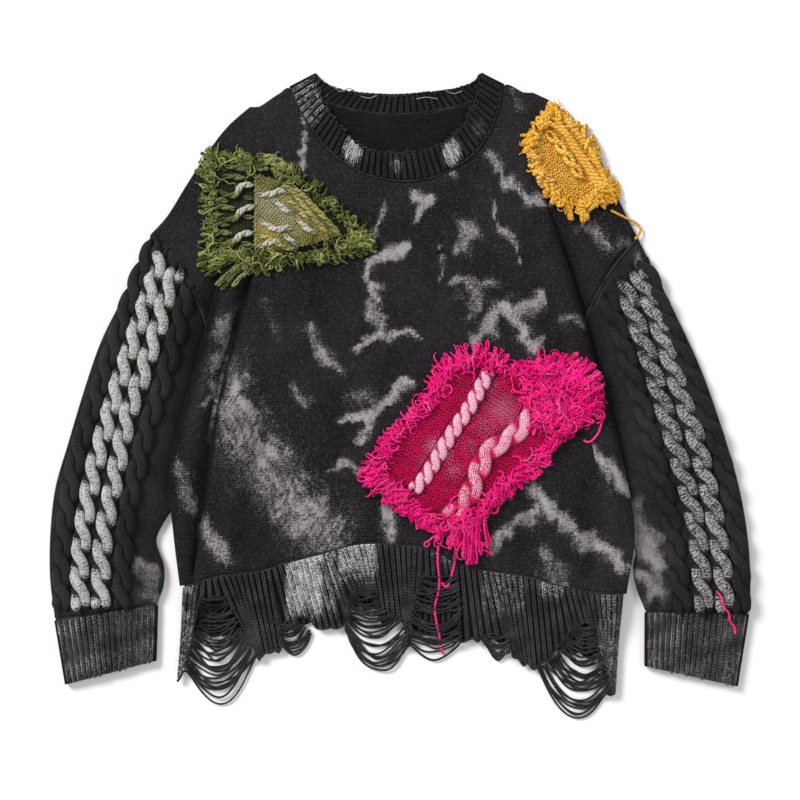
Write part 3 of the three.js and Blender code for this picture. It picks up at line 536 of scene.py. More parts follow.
def spread(points):
    stamp = np.zeros_like(heights)
    cell = ((points[..., :2] + ground["half"]) / ground["cell"]).astype(int).reshape(-1, 2)
    cell = np.clip(cell, 0, len(heights) - 1)
    np.maximum.at(stamp, (cell[:, 0], cell[:, 1]), points[..., 2].reshape(-1))
    grown = stamp.copy()
    for x, y in ((1, 0), (-1, 0), (0, 1), (0, -1)):
        grown = np.maximum(grown, np.where(stamp > 0, stamp, np.roll(stamp, (x, y), (0, 1))))
    np.maximum(heights, grown, out=heights)

def blurred(passes):
    soft = heights.copy()
    for _ in range(passes):
        soft = (soft + sum(np.roll(soft, s, a) for s in (1, -1) for a in (0, 1))) / 5
    return soft

def topOf(x, y, field=None):
    field = heights if field is None else field
    gx = np.clip((np.asarray(x) + ground["half"]) / ground["cell"] - 0.5, 0, len(field) - 1.01)
    gy = np.clip((np.asarray(y) + ground["half"]) / ground["cell"] - 0.5, 0, len(field) - 1.01)
    i, j = gx.astype(int), gy.astype(int)
    f, g = gx - i, gy - j
    return ((field[i, j] * (1 - f) + field[i + 1, j] * f) * (1 - g)
            + (field[i, j + 1] * (1 - f) + field[i + 1, j + 1] * f) * g)

# Where bleach fell, and two painted highlights on the crown of the left fold: line, half width in mm and
# strength, for each piece that it is on.
bleach = {
    "body": [
        # The first stroke here is a painted highlight along the crown of the left fold, not bleach.
        ([(-190, 98), (-202, 52), (-217, -8)], 6, 0.65), ([(-180, 20), (-166, -20), (-150, -64)], 5, 1.0),
        ([(-112, 296), (-113, 275), (-108, 254)], 6, 0.9), ([(10, 229), (32, 225), (24, 206)], 9, 1.0),
        ([(-22, 226), (-20, 205), (-31, 186)], 5, 0.7),
        ([(99, 272), (118, 249), (140, 232), (162, 216)], 9, 0.8),
        ([(46, 249), (62, 249)], 6, 0.6), ([(72, 196), (80, 184), (72, 172)], 20, 0.62),
        ([(74, 128), (84, 112), (76, 98)], 17, 0.5), ([(-30, 110), (-26, 84)], 13, 0.6),
        ([(99, 222), (112, 200), (124, 170), (132, 151)], 4, 0.6), ([(43, 176), (46, 140)], 5, 0.45),
        ([(12, 176), (-12, 162), (-34, 152), (-28, 128), (-24, 110)], 8, 1.0),
        ([(64, 134), (84, 130), (108, 131)], 9, 0.5),
        ([(83, 66), (98, 82), (118, 106), (129, 92), (158, 116)], 12, 0.8),
        ([(129, 90), (138, 72), (146, 60), (162, 68)], 8, 0.75), ([(180, 90), (204, 88)], 9, 0.4),
        ([(-106, 78), (-92, 58), (-70, 36)], 10, 0.9), ([(-50, 50), (-40, 66), (-26, 74), (20, 72)], 6, 0.85),
        ([(-117, 14), (-108, 4), (-100, -4)], 9, 0.6),
        ([(12, 23), (-10, 2), (-34, -18), (-44, -46)], 8, 0.95),
        ([(-74, -20), (-34, -17)], 6, 0.85), ([(-60, 0), (-30, 5), (-2, 2)], 12, 0.35),
        ([(-78, -80), (-64, -68), (-56, -76), (-46, -79)], 5, 0.8), ([(-14, -116), (-12, -160)], 11, 0.9),
        ([(-219, -138), (-206, -158), (-196, -178)], 14, 0.7),
        ([(-246, -60), (-243, -90), (-232, -124)], 10, 0.5),
        # Painted highlight along the crown of the left fold, not bleach.
        ([(-184, 112), (-196, 80), (-206, 46)], 10, 0.35),
        ([(148, -98), (170, -126), (200, -150), (254, -186)], 13, 0.95),
        ([(156, -108), (150, -128), (128, -142), (100, -164)], 7, 0.8),
        ([(214, -54), (226, -66), (240, -82), (256, -104)], 10, 0.9),
        ([(160, -168), (170, -190), (178, -214)], 16, 0.45),
        ([(200, 194), (226, 184), (262, 162)], 10, 0.45), ([(125, 354), (134, 328)], 8, 0.3),
        ([(-112, 330), (-108, 306)], 9, 0.6), ([(190, 246), (216, 226)], 8, 0.25),
        ([(-150, 106), (-130, 66)], 8, 0.25),
    ],
    "right_sleeve": [([(250, -112), (264, -146), (286, -178)], 22, 0.8),
                     ([(268, -196), (292, -216)], 20, 0.65), ([(266, 158), (284, 140)], 10, 0.4)],
    "left_sleeve": [([(-292, -182), (-280, -204), (-272, -222)], 16, 0.5),
                    ([(-330, 10), (-352, -50)], 10, 0.2)],
}
splash = {"along": [(-204, 30), (-178, -34), (-140, -90), (-84, -150)], "width": 32, "strength": 1.0}

def drift(xy, size, far, seed):  # pushes places about, so that marks wander
    push = np.stack([tile(xy, size, seed), tile(xy, size, seed + 1)], -1) - 0.5
    return xy + 2 * far * push

def bleachOf(xy, word):
    xy = drift(drift(xy, 0.05, 0.006, 31), 0.016, 0.0028, 37)
    total = np.zeros(xy.shape[:-1])
    for line, width, strength in bleach.get(word, []):
        far, along = awayFrom(xy, line)
        ends = 0.55 + 0.45 * np.sin(math.pi * np.clip(along, 0.03, 0.97)) ** 0.5
        width = 0.8 * width / 1000 * ends * (0.55 + 0.9 * tile(xy, 0.028, int(width * 7 + len(line))))
        blot = 0.65 + 0.5 * tile(xy, 0.02, len(line))
        total = np.maximum(total, 0.9 * strength * blot * np.exp(-(far / width) ** 2 * 1.1))
    # The big splash low on the wearer's right is many thin streaks that run down to the right.
    if word == "body":
        far, along = awayFrom(xy, splash["along"])
        streak = 0.5 + 0.5 * np.sin((xy[..., 0] * 0.87 + xy[..., 1] * 0.5) * 2 * math.pi / 0.011
                                    + 5 * tile(xy, 0.05, 3))
        body = splash["strength"] * np.exp(-(far / (splash["width"] / 1000)) ** 2)
        tuck = np.array(leftTuck) / 1000
        beyond = smooth(-0.004, 0.002, xy[..., 0] - np.interp(xy[..., 1], tuck[:, 1], tuck[:, 0]))
        total = np.maximum(total, body * (0.3 + 0.7 * streak * tile(xy, 0.035, 9)) * mix(0.25, 1, beyond))
    return total

# The front panel: pleated towards each armhole, turned under below it.
def sideOf(spec):
    foldRail, seamRail = rail(spec["fold"]), rail(spec["seam"])
    depthRail = rail([(k, d) for k, d in enumerate(spec["depth"])])
    first, second = (foldMid - pleatMid) / 2, (pleatMid - frontMid) / 2
    side = spec["side"]
    def turns(v):
        overlap, height = 1 - smooth(0.64, 0.84, v), 1 - smooth(0.82, 1, v)
        reach = depthRail(v)[..., 1]
        start, top = foldRail(v), foldHeight(v)
        fall = (top - mix(frontMid, seamHeight(v), 0.3)) / (foldMid - frontMid)
        angles = np.linspace(0, math.pi, 6)
        profile = [(first * math.sin(q) + 0 * reach, first * (math.cos(q) - 1)) for q in angles[1:]]
        profile += [(-reach - second * math.sin(q), -2 * first + second * (math.cos(q) - 1)) for q in angles]
        out = []
        for k, (x, z) in enumerate(profile):
            px = start[..., 0] + side * mix(0.0009 * (k + 1), x, overlap)
            out.append(np.stack([px, start[..., 1], top + z * height * fall], -1))
        return out
    inner = lambda v: turns(np.asarray(v, float))[-1][..., :2]
    shoulder = evenRail(spec["shoulder"])
    origin = inner(1.0)
    layer = between(inner, seamRail, lambda u: mix(inner(0.0), seamRail(0.0), np.asarray(u)[..., None]),
                    lambda u: shoulder(u) + (origin - shoulder(0.0)) * (1 - np.asarray(u)[..., None]))
    def columns(v):
        out = turns(v)
        last = out[-1]
        for u in np.linspace(0, 1, 13)[1:]:
            p = layer(np.full_like(v, u), v)
            z = mix(mix(last[..., 2], seamHeight(v), smooth(0, 1, u)), frontMid, smooth(0.88, 1, v))
            out.append(np.concatenate([p, z[..., None]], -1))
        return out
    return foldRail, seamRail, columns

def foldHeight(v):
    return mix(foldMid, frontMid, smooth(0.62, 1, v))

def seamHeight(v):
    return frontMid + 0.0024 * np.sin(math.pi * smooth(0.333, 1, v))

creases = [  # line, half width, height: soft folds of the front, in millimetres
    ([(-120, -186), (-100, -90), (-96, 10), (-110, 120), (-132, 220)], 20, 2.6),
    ([(-40, -160), (-30, -60), (-34, 60)], 18, 1.8),
    ([(70, -182), (80, -60), (70, 60), (60, 160)], 22, 2.2),
    ([(172, -205), (170, -110), (160, 0), (140, 110), (120, 210)], 18, 3.0),
    ([(130, -196), (136, -120), (146, -40)], 12, -1.6),
    ([(214, -214), (212, -150), (206, -80)], 10, -1.6),
    ([(-180, -194), (-172, -120), (-160, -40), (-150, 60)], 13, -2.0),
    ([(-60, 240), (-84, 200), (-120, 170)], 14, 1.4), ([(60, 238), (90, 200), (130, 150)], 14, 1.4),
    ([(-10, 240), (-4, 180), (4, 100)], 20, 1.0),
    ([(238, -206), (241, -140), (233, -80), (220, -20), (201, 45), (182, 110), (164, 170)], 8, 1.6),
    ([(220, -208), (222, -140), (213, -80), (200, -20), (181, 45), (162, 110)], 9, -1.6),
    ([(-150, 200), (-164, 120), (-186, 40)], 10, -1.0), ([(0, -160), (8, -100), (20, -60)], 14, -1.2),
    ([(-100, 240), (-90, 180), (-70, 120)], 12, 0.9), ([(150, 250), (140, 190), (128, 130)], 10, 1.0),
]

def creaseOf(xy):
    total = np.zeros(xy.shape[:-1])
    for line, width, height in creases:
        far, along = awayFrom(xy, line)
        ends = np.sin(math.pi * np.clip(along, 0.04, 0.96)) ** 0.6
        total += 2.2 * height / 1000 * np.exp(-(far / (width / 1000)) ** 2) * ends
    return total

foldShadeLines = [  # painted shade beside each fold: line, which way is down from it, reach on its upper and lower side, strength
    (leftTuck[:-1], -1, 0.002, 0.017, 1.0), (leftSide["fold"][1:-2], -1, 0.007, 0.022, 0.9),
    (rightSide["fold"][1:-2], 1, 0.004, 0.016, 0.85),
]

def paintedShadeOf(xy):  # painted shade down beside the folds and in the valleys of the creases
    total = np.zeros(xy.shape[:-1])
    for line, outward, near, far, strength in foldShadeLines:
        distance, along = awayFrom(xy, line)
        points = np.array(sorted(line, key=lambda q: q[1])) / 1000
        beyond = (xy[..., 0] - np.interp(xy[..., 1], points[:, 1], points[:, 0])) * outward > 0
        reach = np.where(beyond, far, near)
        ends = np.sin(math.pi * np.clip(along, 0.04, 0.96)) ** 0.5
        total = np.maximum(total, strength * ends * np.exp(-(distance / reach) ** 2))
    for line, width, height in creases:
        if height < 0:
            distance, along = awayFrom(xy, line)
            ends = np.sin(math.pi * np.clip(along, 0.04, 0.96))
            total = np.maximum(total, 0.22 * abs(height) * ends * np.exp(-(distance / (width / 1000)) ** 2))
    return total

rightFold, rightSeam, rightColumns = sideOf(rightSide)
leftFold, leftSeam, leftColumns = sideOf(leftSide)
tuckRail = rail(leftTuck)
frontTop = evenRail([leftTuck[-1]] + frontNeck + [rightSide["fold"][-1]])
frontMiddle = between(tuckRail, rightFold, evenRail(hemLine), frontTop)

def frontHeight(xy, v):
    toRight = rightFold(v)[..., 0] - xy[..., 0]
    toLeft = xy[..., 0] - tuckRail(v)[..., 0]
    tuck = mix(creaseMid, frontMid, smooth(0.62, 0.95, v))
    z = frontMid + (foldHeight(v) - frontMid) * np.exp(-(toRight / 0.062) ** 2)
    z = z + (tuck - frontMid) * np.exp(-(toLeft / 0.07) ** 2)
    edge = smooth(0, 0.02, toRight) * smooth(0, 0.02, toLeft) * smooth(0, 0.03, v) * (1 - smooth(0.9, 1, v))
    return np.maximum(mix(z, frontMid, smooth(0.88, 1, v)) + creaseOf(xy) * edge, frontMid)

frontMesh = {"rows": 136, "across": 108, "leftStrips": 12}
v = np.linspace(0, 1, frontMesh["rows"])
uu, vv = np.meshgrid(np.linspace(0, 1, frontMesh["across"]), v)
middle = frontMiddle(uu, vv)
middle = np.concatenate([middle, frontHeight(middle, vv)[..., None]], -1)
strip = []
for s in np.linspace(0, 0.9, frontMesh["leftStrips"]):  # from the left fold to the tuck: a swell, then a dip
    p = mix(leftFold(v), tuckRail(v), s)
    swell = 0.003 * math.sin(math.pi * min(1, s / 0.75)) - 0.005 * smooth(0.55, 0.9, s)
    z = (mix(foldHeight(v), frontMid, smooth(0.88, 1, v))
         + swell * (1 - smooth(0.6, 0.85, v)) * smooth(0, 0.05, v))
    strip.append(np.concatenate([p, z[..., None]], -1))
leftPart = leftColumns(v)[::-1]
frontGrid = np.concatenate([np.stack(leftPart + strip, 1), middle, np.stack(rightColumns(v), 1)], 1)
front = shell("front", frontGrid, cloth, frontGrid[..., :2], {
    "bleach": bleachOf(frontGrid[..., :2], "body"), "shade": paintedShadeOf(frontGrid[..., :2])})
print("front panel", frontGrid.shape)

# The back panel, flat on the table.
backTop = evenRail(leftSide["shoulder"][::-1] + backNeck + rightSide["shoulder"])
backHem = evenRail([leftSide["seam"][0]] + hemLine[1:-1] + [rightSide["seam"][0]])
backShape = between(leftSeam, rightSeam, backHem, backTop)
uu, vv = np.meshgrid(np.linspace(0, 1, 60), np.linspace(0, 1, 60))
backGrid = backShape(uu, vv)
backGrid = np.concatenate([backGrid, np.full(backGrid.shape[:-1] + (1,), cloth / 2)], -1)
# Painted shade over the whole back panel, for the shade inside the neck opening.
back = shell("back", backGrid, cloth, backGrid[..., :2], {"bleach": 0 * uu, "shade": 0.55 + 0 * uu})

# Sleeves and cuffs: tubes laid flat.
rightSleeve = {
    "side": 1,
    "outer": [(286, 140), (308, 95), (336, 34), (360, -34), (379, -101), (389, -162), (391, -213),
              (389, -237)],
    "inner": [(212, -62), (230, -104), (250, -146), (265, -170), (263, -187), (267, -211), (276, -235)],
    "cuff": [(389, -240), (276, -238), (376, -320), (276, -298)],
}
leftSleeve = {
    "side": -1,
    "outer": [(-289, 152), (-314, 106), (-335, 63), (-353, 10), (-371, -51), (-385, -100), (-390.5, -151),
              (-390.5, -200), (-385, -244)],
    "inner": [(-225, -66), (-244, -106), (-266, -140), (-274, -160), (-266, -186), (-267, -208),
              (-273, -227)],
    "cuff": [(-385, -247), (-273, -230), (-373, -318), (-275, -292)],
}

def flatTube(name, side, plan, upper, along, across, thick, uvOf, marksOf):
    over = np.linspace(0.02, 0.98, across)
    under = np.linspace(0.98, 0.02, 14)
    angles = np.linspace(-math.pi / 2, math.pi / 2, 7)[1:-1]
    rings = []
    for s in along:
        top = np.concatenate([plan(over, np.full_like(over, s)), upper(over, s)[:, None]], -1)
        low = np.concatenate([plan(under, np.full_like(under, s)), np.full((len(under), 1), thick / 2)], -1)
        centre = plan(0.5, s)
        ends = []
        for a, b in ((top[-1], low[0]), (low[-1], top[0])):
            mid = (a + b) / 2
            out = np.append(mid[:2] - centre, 0)
            out /= np.linalg.norm(out)
            radius = abs(a[2] - b[2]) / 2
            lift = -np.sign(a[2] - b[2]) * radius
            ends.append([mid + out * radius * math.cos(q)
                         + np.array([0, 0, lift * math.sin(q)]) for q in angles])
        ring = np.concatenate([top, ends[0], low, ends[1]])
        rings.append(ring if side > 0 else ring[::-1])
    grid = np.array(rings)
    return shell(name, grid, thick, uvOf(grid, over), marksOf(grid), ring=True)

def sleeve(word, spec, seam):
    side = spec["side"]
    def armhole(w):
        t = mix(1, 0.39, np.asarray(w, float))
        d = seam(np.minimum(t + 0.01, 1)) - seam(t - 0.01)
        d = d / np.linalg.norm(d, axis=-1, keepdims=True)
        return seam(t) + 0.0022 * np.stack([side * d[..., 1], -side * d[..., 0]], -1)
    start, end = armhole(0.0) * 1000, armhole(1.0) * 1000
    outer, inner = rail([tuple(start)] + spec["outer"]), rail([tuple(end)] + spec["inner"])
    plan = between(outer, inner, armhole, lambda w: mix(outer(1.0), inner(1.0), np.asarray(w)[..., None]))
    def upper(w, s):
        soft = (0.0012 * np.sin(math.pi * w)
                + 0.0012 * np.sin(7 * w + 9 * s) * smooth(0.5, 0.9, w) * smooth(0, 0.1, s))
        return mix(seamHeight(mix(1, 0.39, w)), sleeveMid + soft, smooth(0, 0.15, s))
    def marks(grid):
        return {"bleach": bleachOf(grid[..., :2], word), "shade": paintedShadeOf(grid[..., :2])}
    def uvOf(grid, over):
        lengthwise = np.linspace(0, 0.45, grid.shape[0])[:, None] + 0 * grid[..., 0]
        ring = grid[grid.shape[0] // 2]
        ringwise = np.cumsum(np.linalg.norm(np.diff(ring, axis=0, prepend=ring[:1]), axis=-1))
        ringwise = ringwise[None, :] + 0 * grid[..., 0]
        return np.stack([ringwise, lengthwise], -1)
    return flatTube(word + "_knit", side, plan, upper, np.linspace(0, 1, 90), 46, cloth, uvOf, marks)

rightTube = sleeve("right_sleeve", rightSleeve, rightSeam)
leftTube = sleeve("left_sleeve", leftSleeve, leftSeam)
print("sleeves")

ribs = {"pitch": 0.0065, "height": 0.0013, "columns": 5, "onCuff": 17}  # one raised rib to each pitch

def ribLift(ribsAlong):
    place = np.abs((ribsAlong % 1) * 2 - 1)  # 0 on the rib, 1 in the groove
    return ribs["height"] * (1 - smooth(0.25, 1, place))

def cuff(word, spec):
    a, b, c, d = [np.array(p) / 1000 for p in spec["cuff"]]
    def plan(w, s):
        w, s = np.asarray(w)[..., None], np.asarray(s)[..., None]
        return mix(mix(a, b, w), mix(c, d, w), s)
    def upper(w, s):
        return 0.0062 + 0.0006 * np.sin(math.pi * w) + ribLift(w * ribs["onCuff"])
    across = ribs["onCuff"] * ribs["columns"]
    def uvOf(grid, over):
        place = np.zeros(grid.shape[1])
        place[:across] = over * ribs["onCuff"] * ribs["pitch"]
        place = place if spec["side"] > 0 else place[::-1]
        return np.stack([place[None, :] + 0 * grid[..., 0],
                         np.linspace(0, 0.078, grid.shape[0])[:, None] + 0 * grid[..., 0]], -1)
    def marksOf(grid):
        return {"paint": 0.2 * tile(grid[..., :2], 0.03, 5), "bleach": 0 * grid[..., 0]}
    tube = flatTube(word + "_rib", spec["side"], plan, upper, np.linspace(0, 1, 22), across, ribCloth, uvOf,
                    marksOf)
    down = np.linspace(0, 1, 30)
    paths = []
    for r in range(ribs["onCuff"]):
        w = (r + 0.5) / ribs["onCuff"]
        z = np.full((30, 1), upper(w, 0) + ribCloth / 2 + 0.0002)
        paths.append(np.concatenate([plan(np.full(30, w) * 0.96 + 0.02, down), z], -1))
    return tube, paths

rightCuff, rightPaths = cuff("right_cuff", rightSleeve)
leftCuff, leftPaths = cuff("left_cuff", leftSleeve)

# The neckband: a ribbed ring, its front half over its back half.
band = {"frontRibs": 44, "backRibs": 32, "front": 0.0052, "back": ribCloth / 2}

def offset(line, far):
    def moved(t):
        d = line(np.minimum(np.asarray(t) + 0.02, 1)) - line(np.maximum(np.asarray(t) - 0.02, 0))
        d = d / np.linalg.norm(d, axis=-1, keepdims=True)
        return line(t) + far * np.stack([-d[..., 1], d[..., 0]], -1)
    return moved

frontSeamLine, frontFreeLine = offset(evenRail(frontNeck), 0.0018), evenRail(frontFreeEdge)
backSeamLine, backFreeLine = offset(evenRail(backNeck), 0.0018), evenRail(backFreeEdge)
tf = np.linspace(0, 1, band["frontRibs"] * 5 + 1)
tb = np.linspace(1, 0, band["backRibs"] * 5 + 1)
bandRows = []
for s in np.linspace(0, 1, 10):
    over = mix(frontSeamLine(tf), frontFreeLine(tf), s)
    wave = 0.0008 * np.sin(tf * 90) * s**3
    over = np.concatenate([over + wave[:, None], (band["front"] + ribLift(tf * band["frontRibs"]))[:, None]],
                          -1)
    under = mix(backSeamLine(tb), backFreeLine(tb), s)
    under = np.concatenate([under, (band["back"] + 0.6 * ribLift(tb * band["backRibs"]))[:, None]], -1)
    ring = [over]
    for a, b, out in ((over[-1], under[0], 1), (under[-1], over[0], -1)):
        mid, radius = (a + b) / 2, abs(a[2] - b[2]) / 2
        turn = np.array([
            mid + np.array([out * radius * math.cos(q), 0, -np.sign(a[2] - b[2]) * radius * math.sin(q)])
            for q in np.linspace(-math.pi / 2, math.pi / 2, 6)[1:-1]])
        ring.append(turn)
        if out > 0:
            ring.append(under)
    bandRows.append(np.concatenate(ring))
bandGrid = np.array(bandRows)
place = np.concatenate([tf * band["frontRibs"], [band["frontRibs"]] * 4, tb * band["backRibs"],
                        [0] * 4]) * ribs["pitch"]
bandUv = np.stack([place[None, :] + 0 * bandGrid[..., 0],
                   np.linspace(0, 0.033, 10)[:, None] + 0 * bandGrid[..., 0]], -1)
bandMarks = {"paint": [(-53, 279, 11, 0.6), (58, 277, 11, 0.55), (-4, 262, 7, 0.25), (88, 305, 8, 0.15)],
             "bleach": [(-106, 332, 24, 0.42)]}  # x, y, reach and strength

def bandMark(word, xy):
    amount = np.zeros(xy.shape[:-1])
    for x, y, reach, strength in bandMarks[word]:
        far = np.hypot(xy[..., 0] * 1000 - x, (xy[..., 1] * 1000 - y) * 0.7) / reach
        amount = np.maximum(amount, strength * (1 - smooth(0.5, 1.3, far)))
    return amount

neckband = shell("neckband_rib", bandGrid, 0.0024, bandUv,
                 {word: bandMark(word, bandGrid) for word in bandMarks}, ring=True)
print("neckband")

# Hem ribs, joined to the panels' lower edges: where each column starts in x, and where it ends in x and y.
frontRib = [(-242, -249, -313), (-223, -240, -305), (-221, -223, -219), (-200, -193, -219),
            (-197, -159, -287), (-174, -154, -288), (-146, -132, -277), (-143, -127, -249),
            (-119, -102, -241), (-112, -93, -254), (-84, -62, -256), (-79, -56, -214), (-46, -31, -214),
            (-39, -25, -240), (-30, -18, -248), (-2, 5, -249), (4, 9, -273), (8, 11, -273), (14, 12, -240),
            (22, 17, -222), (26, 27, -197), (60, 64, -195), (64, 68, -270), (76, 87, -272), (82, 91, -262),
            (106, 124, -263), (109, 126, -287), (140, 150, -301), (160, 168, -290), (178, 188, -262),
            (184, 195, -250), (203, 213, -250), (206, 233, -327), (228, 236, -328), (249, 240, -329)]
backRib = [(-233, -240, -262), (-150, -150, -264), (-60, -52, -232), (-20, -22, -232), (30, 34, -266),
           (120, 122, -270), (246, 236, -292)]
ribFront = ribCloth * 1.5 + 0.0005

def hemRib(name, columns, edge, rest, rows, marksOf):
    table = np.array(columns) / 1000
    count = int((table[-1, 0] - table[0, 0]) / ribs["pitch"]) * ribs["columns"]
    top = np.linspace(table[0, 0], table[-1, 0], count + 1)
    order = np.argsort(edge[:, 0])
    start = np.stack([top, np.interp(top, edge[order, 0], edge[order, 1]) - 0.0018], -1)
    z = np.interp(top, edge[order, 0], edge[order, 2])
    foot = np.stack([np.interp(top, table[:, 0], table[:, 1]), np.interp(top, table[:, 0], table[:, 2])], -1)
    rib = np.arange(count + 1) // ribs["columns"]
    # Each rib ends where its own stitches held.
    fray = np.random.default_rng(4).normal(0, 0.0025, rib[-1] + 2)
    foot[:, 1] += np.interp(np.arange(count + 1) / ribs["columns"], np.arange(len(fray)), fray)
    grid = []
    for t in np.linspace(1, 0, rows):
        p = mix(start, foot, t)
        fallen = smooth(0, 0.062, np.linalg.norm(p - start, axis=-1))
        lift = ribLift(np.arange(count + 1) / ribs["columns"]) * smooth(0, 0.1, t)
        grid.append(np.concatenate([p, (mix(np.maximum(z, rest), rest, fallen) + lift)[:, None]], -1))
    grid = np.array(grid)
    uv = np.stack([np.arange(count + 1)[None, :] / ribs["columns"] * ribs["pitch"] + 0 * grid[..., 0],
                   grid[..., 1]], -1)
    return shell(name, grid, ribCloth * 0.7, uv, marksOf(grid), level=True), grid

def hemMarks(grid):
    x, y = grid[..., 0] * 1000, grid[..., 1] * 1000
    pale = np.zeros(x.shape)
    for left, right, low, high, strength in ((-127, -86, -254, -168, 0.76), (-70, -25, -214, -158, 0.62),
                                             (156, 182, -232, -192, 0.6), (222, 244, -330, -214, 0.3),
                                             (-86, -70, -256, -166, 0.35), (36, 62, -200, -170, 0.3),
                                             (92, 140, -255, -188, 0.25)):
        side = smooth(left - 4, left + 4, x) * (1 - smooth(right - 4, right + 4, x))
        pale = np.maximum(pale, strength * side * smooth(low, low + 30, y)
                          * (0.55 + 0.45 * tile(grid[..., :2], 0.02, 7)))
    pink = 0.8 * (1 - smooth(-236, -220, x)) * (0.4 + 0.6 * tile(grid[..., :2], 0.03, 2))
    return {"paint": pale, "bleach": pink}

def hemUnmarked(grid):
    return {"bleach": 0 * grid[..., 0]}

backRibPiece, _ = hemRib("back_hem", backRib, backGrid[0], ribCloth / 2, 10, hemUnmarked)
frontLower = frontGrid[0][len(leftPart):-len(rightColumns(v))]
frontRibPiece, frontRibGrid = hemRib("front_hem", frontRib, frontLower, ribFront, 22, hemMarks)
print("hem ribs")

def laidLine(points, field, rise, step=0.0025, sway=0.0):
    line, length = evenRail(points), lengthOf(points)
    t = np.linspace(0, 1, max(5, int(length / step)))
    p = line(t)
    z = topOf(p[:, 0], p[:, 1], field) + rise + sway * np.sin(math.pi * t)
    return np.concatenate([p, z[:, None]], -1)

# Stitches down every rib.
ribStitch = {"row": 0.0035, "splay": 0.38, "wide": 0.0011}

def ribLegs(paths, look, paintOf, seed):
    chance = np.random.default_rng(seed)
    legs = []
    for path in paths:
        length = np.concatenate([[0], np.cumsum(np.linalg.norm(np.diff(path, axis=0), axis=1))])
        if length[-1] < 0.006:
            continue
        rows = np.arange(look["row"] * chance.uniform(0.3, 0.7), length[-1], look["row"])
        p = np.stack([np.interp(rows, length, path[:, k]) for k in range(3)], -1)
        d = np.stack([np.interp(rows, length, np.gradient(path[:, k])) for k in range(2)], -1)
        d /= np.linalg.norm(d, axis=1, keepdims=True)
        right = np.stack([d[:, 1], -d[:, 0]], -1)
        heading = np.arctan2(d[:, 1], d[:, 0]) - math.pi / 2
        paint = paintOf(p)
        for side in (-1, 1):
            q = p[:, :2] + right * side * look["wide"]
            turn = heading + side * look["splay"] + chance.normal(0, 0.1, len(q))
            shade = np.clip(1.4 * paint - chance.uniform(0, 0.7, len(q)), 0, 1)  # worn off some stitches
            sizes = chance.uniform(0.88, 1.08, len(q))
            for k in range(len(q)):
                legs.append(((q[k, 0], q[k, 1], p[k, 2]), (0, side * 0.35, turn[k]), sizes[k], shade[k]))
    return legs

def ribPaths(grid, count, rise):
    step = ribs["columns"]
    return [np.concatenate([(grid[:, r * step + 2, :2] + grid[:, r * step + 3, :2]) / 2,
                            grid[:, r * step + 2, 2:] + rise], -1)[::-1] for r in range(count)]

def hemPaint(p):
    marks = hemMarks(p[:, None, :])
    return marks["paint"][:, 0] + 0.6 * marks["bleach"][:, 0]

def cuffPaint(p):
    edge = np.abs(np.abs(p[:, 0]) - 0.33) / 0.06
    return 0.02 + 0.2 * tile(p[:, :2], 0.025, 5) * smooth(-0.25, -0.31, p[:, 1]) + 0.15 * smooth(0.6, 1, edge)

bandPaths = []
for lineA, lineB, count, z in ((frontSeamLine, frontFreeLine, band["frontRibs"], band["front"]),
                               (backSeamLine, backFreeLine, band["backRibs"], band["back"])):
    for r in range(count):
        w = (r + 0.5) / count
        down = np.linspace(0.04, 0.97, 14)[:, None]
        p = mix(lineA(w), lineB(w), down)
        lift = ribs["height"] * (1.0 if count == band["frontRibs"] else 0.6)
        bandPaths.append(np.concatenate([p, np.full_like(down, z + lift + 0.0013)], -1))

ribPieces = {
    "hem_stitches": (ribPaths(frontRibGrid, (frontRibGrid.shape[1] - 1) // ribs["columns"], ribs["height"]),
                     hemPaint),
    "cuff_stitches": (rightPaths + leftPaths, cuffPaint),
    "neckband_stitches": (bandPaths, lambda p: bandMark("paint", p) + bandMark("bleach", p)),
}
for k, (word, (paths, paintOf)) in enumerate(ribPieces.items()):
    yarn = bandYarn if word.startswith("neck") else stitchYarn
    ribPieces[word] = stitches(word, ribLegs(paths, ribStitch, paintOf, k), 0.0019, 0.0046, 0.0018, yarn)

# Rope cables down each sleeve: two strands that cross every half turn.
rope = {"turn": 0.063, "swing": 0.0056, "width": 0.0128, "height": 0.0094, "step": 0.0022}
cables = {  # whether white paint caught its crossings, how strongly, and its middle line
    "left": [(0.0, [(-273, 181), (-283, 156), (-300, 116), (-332, 24), (-364, -76), (-376, -169),
                    (-378, -236)]),
             (0.9, [(-266, 172), (-282, 116), (-296, 74), (-314, 20), (-330, -34), (-343, -83),
                    (-353, -137), (-358, -187), (-356, -238)]),
             (0.85, [(-246, 152), (-260, 121), (-269, 85), (-280, 53), (-289, 24), (-301, -8), (-310, -44),
                     (-318, -86), (-328, -133), (-333, -176), (-334, -236)]),
             (0.0, [(-237, 131), (-248, 81), (-268, 10), (-282, -30), (-293, -74), (-303, -118), (-308, -170),
                    (-311, -234)])],
    "right": [(0.0, [(230, 121), (246, 74), (259, 31), (272, -11), (285, -62), (296, -104), (305, -150),
                     (311, -190), (317, -238)]),
              (0.56, [(248, 139), (262, 92), (278, 46), (291, 2), (303, -36), (315, -78), (326, -118),
                      (333, -158), (337, -200), (340, -240)]),
              (0.62, [(262, 152), (283, 100), (300, 50), (315, 2), (328, -34), (340, -80), (349, -119),
                      (356, -158), (361, -198), (363, -240)]),
              (0.0, [(271, 158), (290, 108), (320, 38), (340, -11), (358, -62), (369, -108), (377, -158),
                     (381, -200), (381, -240)])],
}

